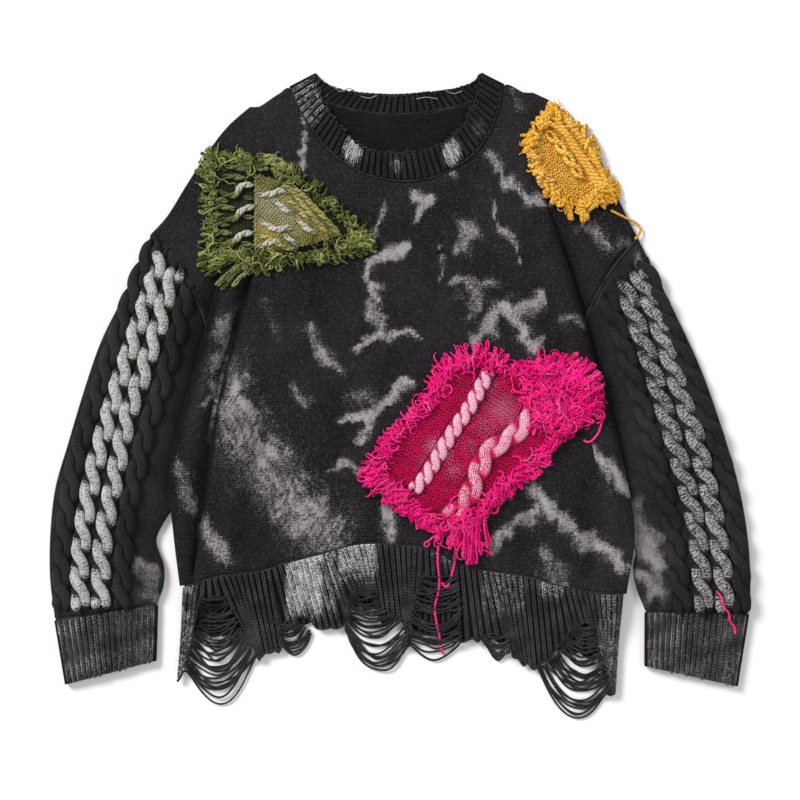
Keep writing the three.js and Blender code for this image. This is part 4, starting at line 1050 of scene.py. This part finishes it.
def ropeLines(middle, paint, look, field, rise, seed=0):
    line, length = evenRail(middle), lengthOf(middle)
    n = int(length / look["step"])
    t = np.linspace(0, 1, n)
    p = line(t)
    d = np.gradient(p, axis=0)
    d /= np.linalg.norm(d, axis=-1, keepdims=True)
    side = np.stack([d[:, 1], -d[:, 0]], -1)
    base = topOf(p[:, 0], p[:, 1], field) + rise
    lines = []
    for k in (0, 1):
        phase = 2 * math.pi * t * length / look["turn"] + math.pi * k + seed
        q = p - side * (look["swing"] * np.tanh(1.1 * np.sin(phase)) / math.tanh(1.1))[:, None]
        over = np.cos(phase)
        z = base + look["height"] * (0.14 + 0.26 * over)
        ends = smooth(0, 0.014 / length, t) * smooth(0, 0.008 / length, 1 - t)  # drawn in under the seams
        white = paint * ends * mix(look.get("under", 0), 1, smooth(-0.85, 0.1, over))
        # Painted shade where this strand passes under the other: its paint drops below zero.
        white = white - look.get("underShade", 0.6) * (1 - smooth(-0.98, -0.4, over))
        size = (1 - 0.12 * np.abs(np.sin(phase))) * (0.3 + 0.7 * ends)
        lines.append((np.concatenate([q, z[:, None]], -1), size, white))
    return lines

plainTop = blurred(2)
# Paint on the strand below, and painted shade where it passes under.
caught = {"left": {"under": 0.35, "underShade": 0.75}, "right": {"under": 0.72, "underShade": 0.7}}
cablePieces = {}
for word, ofSleeve in cables.items():
    lines = []
    for k, (paint, middle) in enumerate(ofSleeve):
        lines += ropeLines(middle, paint, {**rope, **caught[word]}, plainTop, 0.0008, seed=1.7 * k)
    cablePieces[word] = strands(word + "_cables", lines, rope["width"], cableKnit, rope["height"], sides=14)
    spread(np.concatenate([line[0] + [0, 0, 0.003] for line in lines]))

# Loose yarns where the hem has run.
def loops(left, right, count, sag, seed):  # yarns that hang between two edges
    chance = random.Random(seed)
    a, b = evenRail(left), evenRail(right)
    lines = []
    for k in range(count):
        s = (k + 0.5 * chance.random()) / count
        start, end = a(s)[:2], b(min(1.0, s + chance.uniform(-0.06, 0.06)))[:2]
        width = np.linalg.norm(end - start)
        drop = (sag * (0.25 + 0.9 * s) + chance.uniform(-0.12, 0.2)) * width
        t = np.linspace(0, 1, max(8, int((width + 2 * drop) / 0.0035)))
        lean = chance.uniform(0.7, 1.5)
        p = start + (end - start) * t[:, None]
        p[:, 1] -= drop * (4 * t * (1 - t)) ** lean
        p[:, 0] += 0.0012 * np.sin(t * chance.uniform(4, 9) + chance.uniform(0, 6))
        p[:, 1] += 0.0008 * np.sin(t * chance.uniform(6, 14) + chance.uniform(0, 6))
        z = topOf(p[:, 0], p[:, 1], hemTop) + 0.0013 + 0.0016 * chance.random()
        lines.append((np.concatenate([p, z[:, None]], -1), chance.uniform(0.85, 1.1), 0.0))
    return lines

hemTop = blurred(1)
ladderYarn = 0.0023  # thickness
ladders = {  # its left edge, its right edge, how many yarns hang between them, and their sag
    "ladder_left": ([(-222, -218), (-226, -250), (-238, -290), (-240, -305)],
                    [(-197, -218), (-186, -240), (-170, -270), (-160, -288)], 44, 0.42),
    "ladder_small_left": ([(-142, -242), (-134, -262), (-130, -276)],
                          [(-116, -246), (-106, -254), (-98, -262)], 15, 0.45),
    "ladder_middle": ([(-54, -212), (-58, -234), (-62, -250), (-57, -264)],
                      [(-30, -214), (-22, -232), (6, -248), (11, -275)], 30, 0.4),
    "ladder_patch": ([(27, -197), (17, -224), (9, -252), (10, -272)],
                     [(64, -194), (68, -230), (68, -262), (68, -272)], 34, 0.25),
    "ladder_small_right": ([(92, -262), (92, -268)], [(122, -264), (124, -284)], 14, 0.4),
    "ladder_right": ([(194, -249), (190, -262), (172, -288), (152, -300)],
                     [(214, -252), (222, -280), (232, -310), (234, -326)], 44, 0.38),
}
ladderPieces = {}
for k, (word, (left, right, count, sag)) in enumerate(ladders.items()):
    ladderPieces[word] = strands(word + "_yarns", loops(left, right, count, sag, k), ladderYarn, looseYarn)
print("ladders")

# Linking chains that close the seams, and the frayed loops of the neckband.
def chain(line, z, stitch=0.0033):
    length = float(np.linalg.norm(np.diff(line, axis=0), axis=1).sum())
    n = int(length / (stitch / 4))
    t = np.linspace(0, 1, len(line))
    fine = np.linspace(0, 1, n)
    line = np.concatenate([line, np.broadcast_to(z, len(line))[:, None]], -1)
    p = np.stack([np.interp(fine, t, line[:, k]) for k in range(3)], -1)
    return p, 0.86 + 0.14 * np.sin(fine * length / stitch * 2 * math.pi), 0.0

t = np.linspace(0, 1, 120)
up = np.linspace(0.37, 1, 120)
seamLines = []
for armhole, outward in ((rightSeam, 1), (leftSeam, -1)):
    seamLines.append(chain(armhole(up) + [0.0011 * outward, 0], seamHeight(up) + 0.0012))
seamLines.append(chain(frontSeamLine(t) - [0, 0.0008], 0.0062))
seamLines.append(chain(backSeamLine(t), 0.0024))
lower = frontLower[np.argsort(frontLower[:, 0])]
hemX = np.linspace(-0.24, 0.249, 120)
hemY, hemZ = np.interp(hemX, lower[:, 0], lower[:, 1]), np.interp(hemX, lower[:, 0], lower[:, 2])
seamLines.append(chain(np.stack([hemX, hemY - 0.001], -1), hemZ + 0.0004))
for spec in (rightSleeve, leftSleeve):
    a, b = np.array(spec["cuff"][0]) / 1000, np.array(spec["cuff"][1]) / 1000
    away = np.array([0, 0.0012])
    seamLines.append(chain(np.linspace(a + away, b + away, 40), 0.0074))
    seamLines.append(chain(np.linspace(a + away, b + away, 40), 0.0016))
for shoulder in (rightSide["shoulder"], leftSide["shoulder"]):
    seamLines.append(chain(evenRail(shoulder)(t), 0.003))
foot = frontRibGrid[0]
seamLines.append(chain(foot[:, :2], foot[:, 2] + 0.0008, stitch=0.004))
linkingChains = strands("linking_chains", seamLines, 0.0032, looseYarn, 0.003)

chance = random.Random(12)
loopLines = []
for line, count, z in ((frontFreeLine, 46, 0.0066), (backFreeLine, 26, 0.0034)):
    inwards = np.array([0, 0.32])
    for k in range(count):
        s0 = (k + chance.random() * 0.6) / count
        s1 = min(1, s0 + chance.uniform(0.6, 1.5) / count)
        a, b = line(s0), line(s1)
        out = inwards - (a + b) / 2 if line is frontFreeLine else np.array([0, -1.0])
        out = out / np.linalg.norm(out) * chance.uniform(0.0005, 0.0042)
        f = np.linspace(0, 1, 8)[:, None]
        p = a + (b - a) * f + out * np.sin(math.pi * f)
        loopLines.append((np.concatenate([p, z + 0.0012 * np.sin(math.pi * f)], -1),
                          chance.uniform(0.6, 1.0), 0.0))
for route in ([(-74, 351), (-66, 345), (-58, 349), (-50, 346)], [(-44, 340), (-34, 338), (-26, 341)],
              [(18, 337), (30, 339), (42, 337)], [(50, 347), (60, 343), (70, 346)]):
    loopLines.append((laidLine(route, blurred(1), 0.0012), 0.55, 0.45))
neckLoops = strands("neck_loops", loopLines, 0.002, looseYarn)

# The three patches: a knitted ground, raised stitches and ropes on it, and a frayed border all round.
def outlineOf(spec):
    bottom, top = evenRail(spec["bottom"]), evenRail(spec["top"])
    left = evenRail(spec.get("left") or [spec["bottom"][0], spec["top"][0]])
    right = evenRail(spec.get("right") or [spec["bottom"][-1], spec["top"][-1]])
    t = np.linspace(0, 1, 40)[:-1]
    edge = np.concatenate([bottom(t), right(t), top(1 - t), left(1 - t)])
    return between(left, right, bottom, top), edge

def inside(xy, outline):
    x, y = xy[..., 0], xy[..., 1]
    hit = np.zeros(x.shape, bool)
    for (ax, ay), (bx, by) in zip(outline, np.roll(outline, -1, 0)):
        crosses = (ay > y) != (by > y)
        hit ^= crosses & (x < (bx - ax) * (y - ay) / np.where(by == ay, 1e-12, by - ay) + ax)
    return hit

def patchGround(spec, name, field, count, lift, axis, marksOf):
    shape, edge = outlineOf(spec)
    uu, vv = np.meshgrid(np.linspace(0, 1, count), np.linspace(0, 1, count))
    xy = shape(uu, vv)
    grid = np.concatenate([xy, (topOf(xy[..., 0], xy[..., 1], field) + lift)[..., None]], -1)
    up = np.array([math.cos(math.radians(axis)), math.sin(math.radians(axis))])
    uv = np.stack([xy @ np.array([up[1], -up[0]]), xy @ up], -1)
    return shell(name, grid, 0.0018, uv, marksOf(xy), level=True), edge

def vStitches(outline, axis, look, field, paintOf, avoid=(), lift=0.0008):
    a = math.radians(axis)
    up, across = np.array([math.cos(a), math.sin(a)]), np.array([math.sin(a), -math.cos(a)])
    chance = np.random.default_rng(look["seed"])
    mid = outline.mean(0)
    reach = np.linalg.norm(outline - mid, axis=1).max()
    i, j = np.meshgrid(np.arange(-int(reach / look["wale"]), int(reach / look["wale"]) + 1),
                       np.arange(-int(reach / look["row"]), int(reach / look["row"]) + 1))
    base = mid + i[..., None] * look["wale"] * across + j[..., None] * look["row"] * up
    base = base.reshape(-1, 2) + chance.normal(0, look["loose"], (i.size, 2))
    keep = inside(base, outline)
    for line, width in avoid:
        keep &= awayFrom(base, line)[0] > width
    base = base[keep]
    paint = paintOf(base)
    legs = []
    for side in (-1, 1):
        p = base + side * across * look["wale"] * 0.25
        z = topOf(p[:, 0], p[:, 1], field) + lift
        turn = a - math.pi / 2 + side * look["splay"] + chance.normal(0, 0.1, len(p))
        for k in range(len(p)):
            legs.append(((p[k, 0], p[k, 1], z[k]), (0, 0, turn[k]), chance.uniform(0.9, 1.12), paint[k]))
    return legs

def reachFrom(points, out, outline):  # how far each point is from the outline towards its own direction
    b = (np.roll(outline, -1, 0) - outline)[None]
    a = outline[None] - points[:, None]
    cross = out[:, None, 0] * b[..., 1] - out[:, None, 1] * b[..., 0]
    cross = np.where(np.abs(cross) < 1e-12, 1e-12, cross)
    along = (a[..., 0] * b[..., 1] - a[..., 1] * b[..., 0]) / cross
    place = (a[..., 0] * out[:, None, 1] - a[..., 1] * out[:, None, 0]) / cross
    hits = np.where((place >= 0) & (place <= 1) & (along > 0), along, 0).max(1)
    return np.maximum(hits, 0.004)

def frayed(edge, reach, look, field, filled=None):  # yarn ends and loops that grow outwards from a torn edge
    chance = np.random.default_rng(look["seed"])
    count, step = look["count"], look["step"]
    centre = edge.mean(0)
    border = rail(reach + reach[:1])(np.linspace(0, 1, 160))
    start = edge[chance.integers(len(edge), size=count)] + chance.normal(0, 0.002, (count, 2))
    out = start - centre
    out /= np.linalg.norm(out, axis=1, keepdims=True)
    room = reachFrom(start, out, border)
    start -= out * chance.uniform(-0.002, look["tuckIn"], (count, 1))
    if filled is not None:
        many = int(count * look["filledShare"])
        spots = chance.uniform(filled.min(0), filled.max(0), (many * 4, 2))
        spots = spots[inside(spots, filled)][:many]
        many = len(spots)
        start[:many] = spots
        turned = chance.normal(0, 1, (many, 2))
        out[:many] = turned / np.linalg.norm(turned, axis=1, keepdims=True)
        room[:many] = 0.017
    length = np.maximum(0.008, look["reach"] * room * chance.uniform(0.7, 1.25, count) + look["tuckIn"] * 0.5)
    size = chance.choice(look["widths"], count, p=look["sizes"])
    looped = chance.random(count) < look["loops"]
    heading = np.arctan2(out[:, 1], out[:, 0]) + chance.normal(0, look["spread"], count)
    curl = chance.normal(0, look["curl"], count)
    steps = np.maximum(4, (1.25 * length / step).astype(int))
    walk = [start.copy()]
    for _ in range(steps.max()):
        walk.append(walk[-1] + step * np.stack([np.cos(heading), np.sin(heading)], -1))
        heading = heading + curl + chance.normal(0, 0.2, count)
        curl = curl + chance.normal(0, look["curl"] * 0.25, count)
        home = centre - walk[-1]
        strayed = ~inside(walk[-1], border)
        heading = heading + strayed * 0.55 * np.sin(np.arctan2(home[:, 1], home[:, 0]) - heading)
    walk = np.array(walk)
    lines = []
    for k in range(count):
        if looped[k]:
            t = np.linspace(0, 1, max(7, int(2.3 * length[k] / step)))[:, None]
            side = np.array([-out[k, 1], out[k, 0]]) * chance.uniform(0.0025, 0.006) * chance.choice([-1, 1])
            p = start[k] + out[k] * length[k] * 0.8 * np.sin(math.pi * t)
            p = p + side * (2 * t - 1 + 0.7 * np.sin(2 * math.pi * t)) + chance.normal(0, 0.0004, (len(t), 2))
        else:
            p = walk[:steps[k] + 1, k]
        t = np.linspace(0, 1, len(p))
        pile = look["pile"] * chance.random()
        z = (topOf(p[:, 0], p[:, 1], field) + look["rest"] * size[k]
             + pile * np.sin(math.pi * (0.25 + 0.7 * t)))
        shade = np.clip(chance.normal(look["pale"], look["vary"]) * (1 - 0.4 * t), 0, 1)
        lines.append((np.concatenate([p, z[:, None]], -1), size[k] * (1 - 0.25 * t**3), shade))
    return lines

olive = {
    "top": [(-212, 272), (-150, 262), (-100, 236), (-46, 184)],
    "bottom": [(-210, 161), (-160, 156), (-100, 160), (-46, 176)],
    "reach": [(-232, 250), (-222, 280), (-190, 282), (-140, 275), (-88, 245), (-25, 172), (-40, 158),
              (-100, 145), (-160, 134), (-186, 124), (-205, 116), (-226, 140), (-224, 200)],
    "flap": {"top": [(-162, 252), (-119, 238), (-96, 217), (-70, 188)],
             "bottom": [(-162, 164), (-140, 166), (-105, 172), (-70, 182)]},
    "pale strands": [[(-160, 229), (-153, 228), (-143, 229), (-132, 233), (-126, 229)],
                     [(-141, 224), (-133, 216), (-124, 209), (-118, 208)],
                     [(-116, 203), (-108, 195), (-100, 188), (-92, 186)],
                     [(-157, 201), (-149, 195), (-137, 189), (-127, 191), (-118, 191)],
                     [(-129, 184), (-122, 178), (-114, 173)],
                     [(-160, 169), (-151, 172), (-139, 176), (-132, 175)], [(-112, 231), (-105, 225)]],
    "khaki strands": [[(-137, 242), (-122, 234), (-110, 220), (-96, 203), (-79, 183)],
                      [(-122, 240), (-106, 226), (-90, 209), (-73, 191), (-65, 180)],
                      [(-147, 168), (-139, 163), (-131, 160)],
                      [(-161, 183), (-145, 179), (-129, 170), (-114, 166)],
                      [(-128, 226), (-112, 212), (-100, 197)]],
    "bridges": [[(-201, 231), (-188, 228), (-182, 230), (-176, 239), (-162, 239)],
                [(-201, 201), (-184, 202), (-178, 209), (-171, 213), (-160, 216)],
                [(-205, 173), (-192, 174), (-182, 178), (-176, 184), (-161, 186)]],
    "green stubs": [[(-213, 213), (-200, 216), (-184, 213)], [(-213, 222), (-204, 224), (-192, 222)],
                    [(-213, 195), (-203, 197), (-190, 195)], [(-211, 183), (-200, 187), (-187, 185)],
                    [(-212, 206), (-202, 207), (-196, 205)],
                    [(-215, 166), (-203, 166), (-188, 164), (-172, 160)], [(-174, 226), (-163, 224)],
                    [(-176, 175), (-161, 171)], [(-174, 204), (-161, 203)],
                    [(-196, 261), (-180, 259), (-165, 255)], [(-198, 250), (-184, 249), (-170, 246)]],
    "rolled edge": [[(-160, 274), (-141, 270), (-129, 263), (-119, 252)],
                    [(-158, 268), (-140, 264), (-126, 254)]],
}
magenta = {
    "top": [(-30, -78), (-3, -36), (31, -2), (56, 35), (90, 46)],
    "bottom": [(45, -144), (82, -132), (106, -104), (158, -62), (190, -28)],
    "left": [(45, -144), (12, -124), (-13, -96), (-30, -78)],
    "right": [(190, -28), (208, 8), (187, 34), (134, 32), (90, 46)],
    "reach": [(-41, -70), (-12, -34), (20, -2), (42, 42), (92, 66), (134, 46), (190, 54), (228, 26),
              (224, -12), (170, -50), (166, -74), (112, -114), (92, -140), (102, -186), (84, -200),
              (62, -182), (32, -152), (-4, -122), (-40, -96)],
    "shaggy": [(140, 36), (186, 38), (212, 18), (212, -8), (176, -40), (150, -30), (138, 6)],
    "braid": [(104, 38), (96, 26), (87, 9), (75, -12), (62, -31), (50, -50), (40, -67), (28, -86),
              (12, -104)],
    "cable": [(150, -8), (140, -26), (120, -44), (98, -58), (88, -78), (80, -100), (68, -120), (48, -134)],
}
yellow = {
    "top": [(168, 322), (200, 298), (217, 272), (228, 240)],
    "bottom": [(145, 284), (160, 252), (178, 226), (198, 216)],
    "reach": [(170, 337), (214, 302), (226, 272), (250, 226), (226, 214), (200, 198), (172, 214), (150, 252),
              (133, 286), (150, 308)],
    "tubes": [[(173, 316), (186, 299), (200, 279), (215, 257), (228, 236)],
              [(181, 320), (195, 302), (210, 283), (222, 262), (231, 242)],
              [(163, 311), (175, 305), (186, 295), (195, 279), (210, 257), (221, 238)]],
    "rope": [(164, 300), (175, 288), (184, 276), (191, 266), (198, 255), (204, 246)],
}

underPatch = blurred(3)
# Its ground is drawn much darker than the stitches on it: painted shade in the gaps between them.
magentaGroundInShade = knitMaterial("magenta_cotton_ground_in_painted_shade", {
    "colour": "#7c0436", "worn": "#a00646", "bleach": "#f29cc0", "paint": "#f7bfd6", "wale": 0.0052,
    "row": 0.0044, "relief": 0.0012, "fuzz": 0.0014})
magentaCableKnit = knitMaterial("cabled_magenta_cotton", {
    "colour": "#c4044e", "worn": "#e00a62", "bleach": "#f6b6d2", "paint": "#f7bcd4", "wrap": 6.0,
    "row": 0.0034, "relief": 0.0007, "groove": 0.4, "specks": 2.8, "dry": 3.2, "blend": 1.0, "lintAndSheen": 0.0,
    "fuzz": 0.0014})
yellowKnit = knitMaterial("stocking_stitch_yellow_wool", {
    "colour": "#c07f18", "worn": "#dc9e2a", "bleach": "#f6d27c", "paint": "#f6d27c", "wale": 0.004,
    "row": 0.0036, "relief": 0.001, "fuzz": 0.0014})
# Its ground is drawn near black: painted shade of the recess under the bridges, over the olive of the purl
# side.
oliveGroundInShade = knitMaterial("purl_side_olive_wool_in_painted_shade", {
    "colour": "#1d2014", "worn": "#2b3019", "bleach": "#6f7a3f", "paint": "#b5a55a", "wale": 0.004,
    "row": 0.0036, "relief": 0.001, "fuzz": 0.0014})
flapKnit = knitMaterial("stocking_stitch_khaki_wool", {
    "colour": "#565a32", "worn": "#7d7844", "bleach": "#9da38a", "paint": "#b5a55a", "wale": 0.0036,
    "row": 0.0032, "relief": 0.001, "fuzz": 0.0014})

def plainMarks(xy):
    return {"bleach": 0 * xy[..., 0], "paint": 0 * xy[..., 0]}

def glow(xy, spots):  # soft round marks: x, y, reach and strength
    total = np.zeros(xy.shape[:-1])
    for x, y, reach, strength in spots:
        far = np.hypot(xy[..., 0] - x / 1000, xy[..., 1] - y / 1000) / (reach / 1000)
        total = np.maximum(total, strength * np.exp(-far**2))
    return total

pinkSpots = [(114, -12, 17, 0.4), (96, -28, 14, 0.25), (38, -52, 9, 0.6), (50, -62, 8, 0.5),
             (100, 16, 12, 0.25), (128, -28, 11, 0.5), (78, -52, 10, 0.15), (60, -78, 9, 0.3),
             (28, -70, 9, 0.2)]

def magentaMarks(xy):
    return {"bleach": glow(xy, pinkSpots), "paint": 0 * xy[..., 0]}

magentaGround, magentaEdge = patchGround(magenta, "magenta_ground", underPatch, 40, 0.0012, 59, magentaMarks)
yellowGround, yellowEdge = patchGround(yellow, "yellow_ground", underPatch, 30, 0.0012, -55, plainMarks)
oliveGround, oliveEdge = patchGround(olive, "olive_ground", underPatch, 30, 0.0012, 0, plainMarks)
onPatch = blurred(1)
greySpots = [(-146, 214, 18, 0.9), (-128, 200, 14, 0.8), (-112, 186, 14, 0.6)]
goldSpots = [(-150, 186, 14, 0.9), (-112, 220, 22, 0.8), (-90, 200, 16, 0.7)]

def flapMarks(xy):
    return {"bleach": glow(xy, greySpots), "paint": glow(xy, goldSpots)}

flapGround, flapEdge = patchGround(olive["flap"], "khaki_flap", onPatch, 26, 0.0035, -35, flapMarks)
onFlap = blurred(1)

magentaLook = {"seed": 3, "wale": 0.0052, "row": 0.0040, "splay": 0.42, "loose": 0.0003}
shaggy = np.array(magenta["shaggy"]) / 1000
magentaLegs = vStitches(magentaEdge, 59, magentaLook, onPatch, lambda xy: glow(xy, pinkSpots) * 0.8,
                        [(magenta["braid"], 0.0085), (magenta["cable"], 0.0115)])
magentaStitches = stitches("magenta_stitches", magentaLegs, 0.002, 0.0052, 0.002, fieldYarn)
# A rope's turn is the length of a full crossing, its swing how far a strand leaves the middle, in metres.
braidLook = {"turn": 0.031, "swing": 0.0042, "width": 0.0098, "height": 0.0058, "step": 0.0016}
cableLook = {"turn": 0.058, "swing": 0.0058, "width": 0.0135, "height": 0.0066, "step": 0.002}
magentaRopes = ropeLines(magenta["braid"], 0.85, braidLook, onPatch, 0.0016)
paleCable = []
for line, size, white in ropeLines(magenta["cable"], 0.75, cableLook, onPatch, 0.0014, seed=0.8):
    paleCable.append((line, size, np.where(white > 0, white * np.linspace(1.0, 0.45, len(line)), white)))
magentaBraid = strands("magenta_braid", magentaRopes, braidLook["width"], magentaCableKnit,
                       braidLook["height"], sides=12)
magentaCable = strands("magenta_cable", paleCable, cableLook["width"], magentaCableKnit, cableLook["height"],
                       sides=12)

khakiLook = {"seed": 5, "wale": 0.0040, "row": 0.0034, "splay": 0.4, "loose": 0.0003}
flapLegs = vStitches(flapEdge, -38, khakiLook, onFlap, lambda xy: 0.5 * glow(xy, greySpots[:2]))
flapStitches = stitches("khaki_stitches", flapLegs, 0.0018, 0.0042, 0.0018, khakiYarn)
twist = {"turn": 0.022, "swing": 0.0015, "height": 0.004, "step": 0.0015}

def twisted(routes, look, field, rise, paintOf):  # two plies wound round each other along each route
    plies = [ply for route in routes for ply in ropeLines(route, 0, look, field, rise)]
    return [(line, size, paintOf(np.linspace(0, 1, len(line)))) for line, size, _ in plies]

oliveLines = twisted(olive["green stubs"], twist, onPatch, 0.002, lambda t: 0.05)
oliveLines += twisted(olive["pale strands"], twist, onFlap, 0.0018,
                      lambda t: 0.35 + 0.6 * np.sin(mix(0.3, 2.8, t)))
oliveLines += twisted(olive["bridges"], twist, onPatch, 0.005,  # green where they leave the patch, then pale
                      lambda t: 0.85 * smooth(0.38, 0.55, t) * (1 - 0.6 * smooth(0.85, 1, t)))
oliveStrands = strands("olive_strands", oliveLines, 0.0048, paleYarn, twist["height"], sides=8)
khakiLines = twisted(olive["khaki strands"], twist, onFlap, 0.0016, lambda t: 0.1)
khakiLines += twisted(olive["rolled edge"], {**twist, "swing": 0.0018}, onFlap, 0.003, lambda t: 0.15)
khakiStrands = strands("khaki_strands", khakiLines, 0.0042, khakiYarn, twist["height"], sides=8)

yellowLook = {"seed": 7, "wale": 0.0042, "row": 0.0036, "splay": 0.4, "loose": 0.0003}
yellowLegs = vStitches(yellowEdge, -55, yellowLook, onPatch, lambda xy: 0.2 + 0 * xy[..., 0],
                       [(yellow["rope"], 0.007)])
yellowStitches = stitches("yellow_stitches", yellowLegs, 0.002, 0.0046, 0.002, yellowYarn)
yellowRope = {"turn": 0.032, "swing": 0.0035, "height": 0.005, "step": 0.002}
yellowTubes = [(laidLine(route, onPatch, 0.0022), 1.0, 0.15) for route in yellow["tubes"]]
yellowTubes += twisted([yellow["rope"]], yellowRope, onPatch, 0.0018, lambda t: 0.2)
yellowRopes = strands("yellow_tubes", yellowTubes, 0.0062, yellowYarn, 0.0052, sides=10)
print("patches")

# Yarns, length of a step, how far they start inside the edge, share of loops, spread and curl of their
# headings, height of the pile, paint and how much it varies, thicknesses and their shares, share spread
# over the filled part, and how much of the way to the border they reach.
fringes = {
    "olive": {"seed": 21, "count": 900, "step": 0.0020, "tuckIn": 0.004, "loops": 0.22, "spread": 1.5,
              "curl": 0.95, "pile": 0.006, "rest": 0.001, "pale": 0.3, "vary": 0.4,
              "sizes": [0.25, 0.4, 0.35], "widths": [0.45, 0.75, 1.1], "filledShare": 0.0, "reach": 0.84},
    "magenta": {"seed": 22, "count": 1150, "step": 0.0024, "tuckIn": 0.011, "loops": 0.45, "spread": 0.7,
                "curl": 0.3, "pile": 0.007, "rest": 0.001, "pale": 0.0, "vary": 0.06,
                "sizes": [0.15, 0.45, 0.4], "widths": [0.5, 0.85, 1.1], "filledShare": 0.3, "reach": 0.85},
    "yellow": {"seed": 23, "count": 190, "step": 0.0022, "tuckIn": 0.005, "loops": 0.6, "spread": 0.6,
               "curl": 0.35, "pile": 0.004, "rest": 0.001, "pale": 0.15, "vary": 0.2,
               "sizes": [0.2, 0.4, 0.4], "widths": [0.5, 1.0, 1.5], "filledShare": 0.0, "reach": 0.9},
}
overPatch = blurred(1)
oliveFringe = strands("olive_fray", frayed(oliveEdge, olive["reach"], fringes["olive"], overPatch), 0.0023,
                      oliveYarn, sides=5)
magentaFringe = strands("magenta_fray", frayed(magentaEdge, magenta["reach"], fringes["magenta"], overPatch,
                                               shaggy), 0.0026, magentaYarn, sides=5)
yellowFringe = strands("yellow_fray", frayed(yellowEdge, yellow["reach"], fringes["yellow"], overPatch),
                       0.0029, yellowYarn)

# Loose tails of yarn, limp, each lying on what is under it.
tails = {
    "magenta_tail": ([(43, -163), (42, -180), (44, -200), (43, -215), (39, -232), (41, -250), (45, -268),
                      (48, -285)], magentaYarn, "magenta_knit"),
    "magenta_loop": ([(62, -168), (61, -182), (57, -198), (52, -210), (47, -204)], magentaYarn,
                     "magenta_knit"),
    "magenta_thread": ([(219, -6), (224, -18), (222, -34), (212, -47), (205, -45)], magentaYarn,
                       "magenta_knit"),
    "cuff_tail": ([(353, -213), (359, -221), (360, -230), (367, -238), (368, -247), (374, -254), (374, -261)],
                  magentaYarn, "magenta_knit"),
    "yellow_tail": ([(236, 212), (250, 205), (265, 198), (270, 190), (263, 180)], yellowYarn, "yellow_knit"),
}
tailWidth = 0.0028
laidTop = blurred(1)
tailPieces = {}
for word, (route, yarn, slotName) in tails.items():
    path = laidLine(route, laidTop, tailWidth / 2 + 0.0004, step=0.004)
    for _ in range(3):  # the yarn bridges small dips
        path[1:-1, 2] = (path[:-2, 2] + path[1:-1, 2] + path[2:, 2]) / 3
    rough, even = np.linspace(0, 1, len(path)), np.linspace(0, 1, len(path) * 3)
    fine = np.stack([np.interp(even, rough, path[:, k]) for k in range(3)], -1)
    beads = 0.95 + 0.07 * np.sin(np.arange(len(fine)) * 2.1)
    tailPieces[word] = (strands(word + "_yarn", [(fine, beads, 0.05)], tailWidth, yarn, sides=10), path,
                        slotName)

# What each piece stands for: the parts that it hides, and the material that it gets.
def settle(piece, nodes, slot, material=None):
    if material:
        piece.data.materials.append(material)
    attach(piece, "root")
    if nodes:
        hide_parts(*nodes)

whole = [  # piece, the node that it stands for, slot, and the material of a knitted wall
    (front, "front_panel", "body_knit", bodyKnit), (back, "back_panel", "body_knit", bodyKnit),
    (rightTube, "right_sleeve", "sleeve_knit", sleeveKnit),
    (leftTube, "left_sleeve", "sleeve_knit", sleeveKnit),
    (rightCuff, "right_cuff", "rib_knit", ribKnit), (leftCuff, "left_cuff", "rib_knit", ribKnit),
    (neckband, "neckband", "rib_knit", bandKnit), (frontRibPiece, "front_hem_rib", "rib_knit", ribKnit),
    (backRibPiece, "back_hem_rib", "rib_knit", ribKnit),
    (oliveGround, "olive_patch", "olive_knit", oliveGroundInShade), (flapGround, "olive_flap", "olive_knit", flapKnit),
    (magentaGround, "magenta_patch", "magenta_knit", magentaGroundInShade),
    (yellowGround, "yellow_patch", "yellow_knit", yellowKnit),
    (oliveFringe, "olive_fringe", "olive_knit", None),
    (magentaFringe, "magenta_fringe", "magenta_knit", None),
    (yellowFringe, "yellow_fringe", "yellow_knit", None),
]
whole += [(piece, word, "loose_yarn", None) for word, piece in ladderPieces.items()]
for piece, node, slot, material in whole:
    settle(piece, [node], slot, material)
sewnOnTop = {
    "sleeve_knit": list(cablePieces.values()),
    "rib_knit": list(ribPieces.values()) + [linkingChains, neckLoops],
    "olive_knit": [flapStitches, oliveStrands, khakiStrands],
    "magenta_knit": [magentaStitches, magentaBraid, magentaCable],
    "yellow_knit": [yellowStitches, yellowRopes],
}
for slot, pieces in sewnOnTop.items():
    for piece in pieces:
        settle(piece, [], slot)
for word, (piece, path, slotName) in tailPieces.items():
    settle(piece, [word] if word.endswith("tail") else [], slotName)

cuts = [  # piece, width and length of its cut, its flat area, what it lies on, and what is sewn to it
    (back, (0.55, 0.57), 0.23, [table], []),
    (front, (0.72, 0.57), 0.29, [back], [linkingChains]),
    (leftTube, (0.32, 0.44), 0.10, [table], [cablePieces["left"]]),
    (rightTube, (0.32, 0.44), 0.10, [table], [cablePieces["right"]]),
    (leftCuff, (0.23, 0.08), 0.016, [table], []), (rightCuff, (0.23, 0.08), 0.016, [table], []),
    (neckband, (0.50, 0.034), 0.015, [back], [neckLoops]),
    (backRibPiece, (0.49, 0.11), 0.04, [table], []), (frontRibPiece, (0.49, 0.14), 0.04, [backRibPiece], []),
    (oliveGround, (0.17, 0.12), 0.014, [front], [oliveFringe, oliveStrands]),
    (flapGround, (0.1, 0.09), 0.0055, [oliveGround], [flapStitches, khakiStrands]),
    (magentaGround, (0.24, 0.19), 0.027, [front],
     [magentaStitches, magentaBraid, magentaCable, magentaFringe]),
    (yellowGround, (0.12, 0.07), 0.005, [front], [yellowStitches, yellowRopes, yellowFringe]),
]
for piece, flat, area, under, sewnOn in cuts:
    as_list(under)
    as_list(sewnOn)
print("settled", len(whole) + sum(len(pieces) for pieces in sewnOnTop.values()) + len(tails), "pieces")
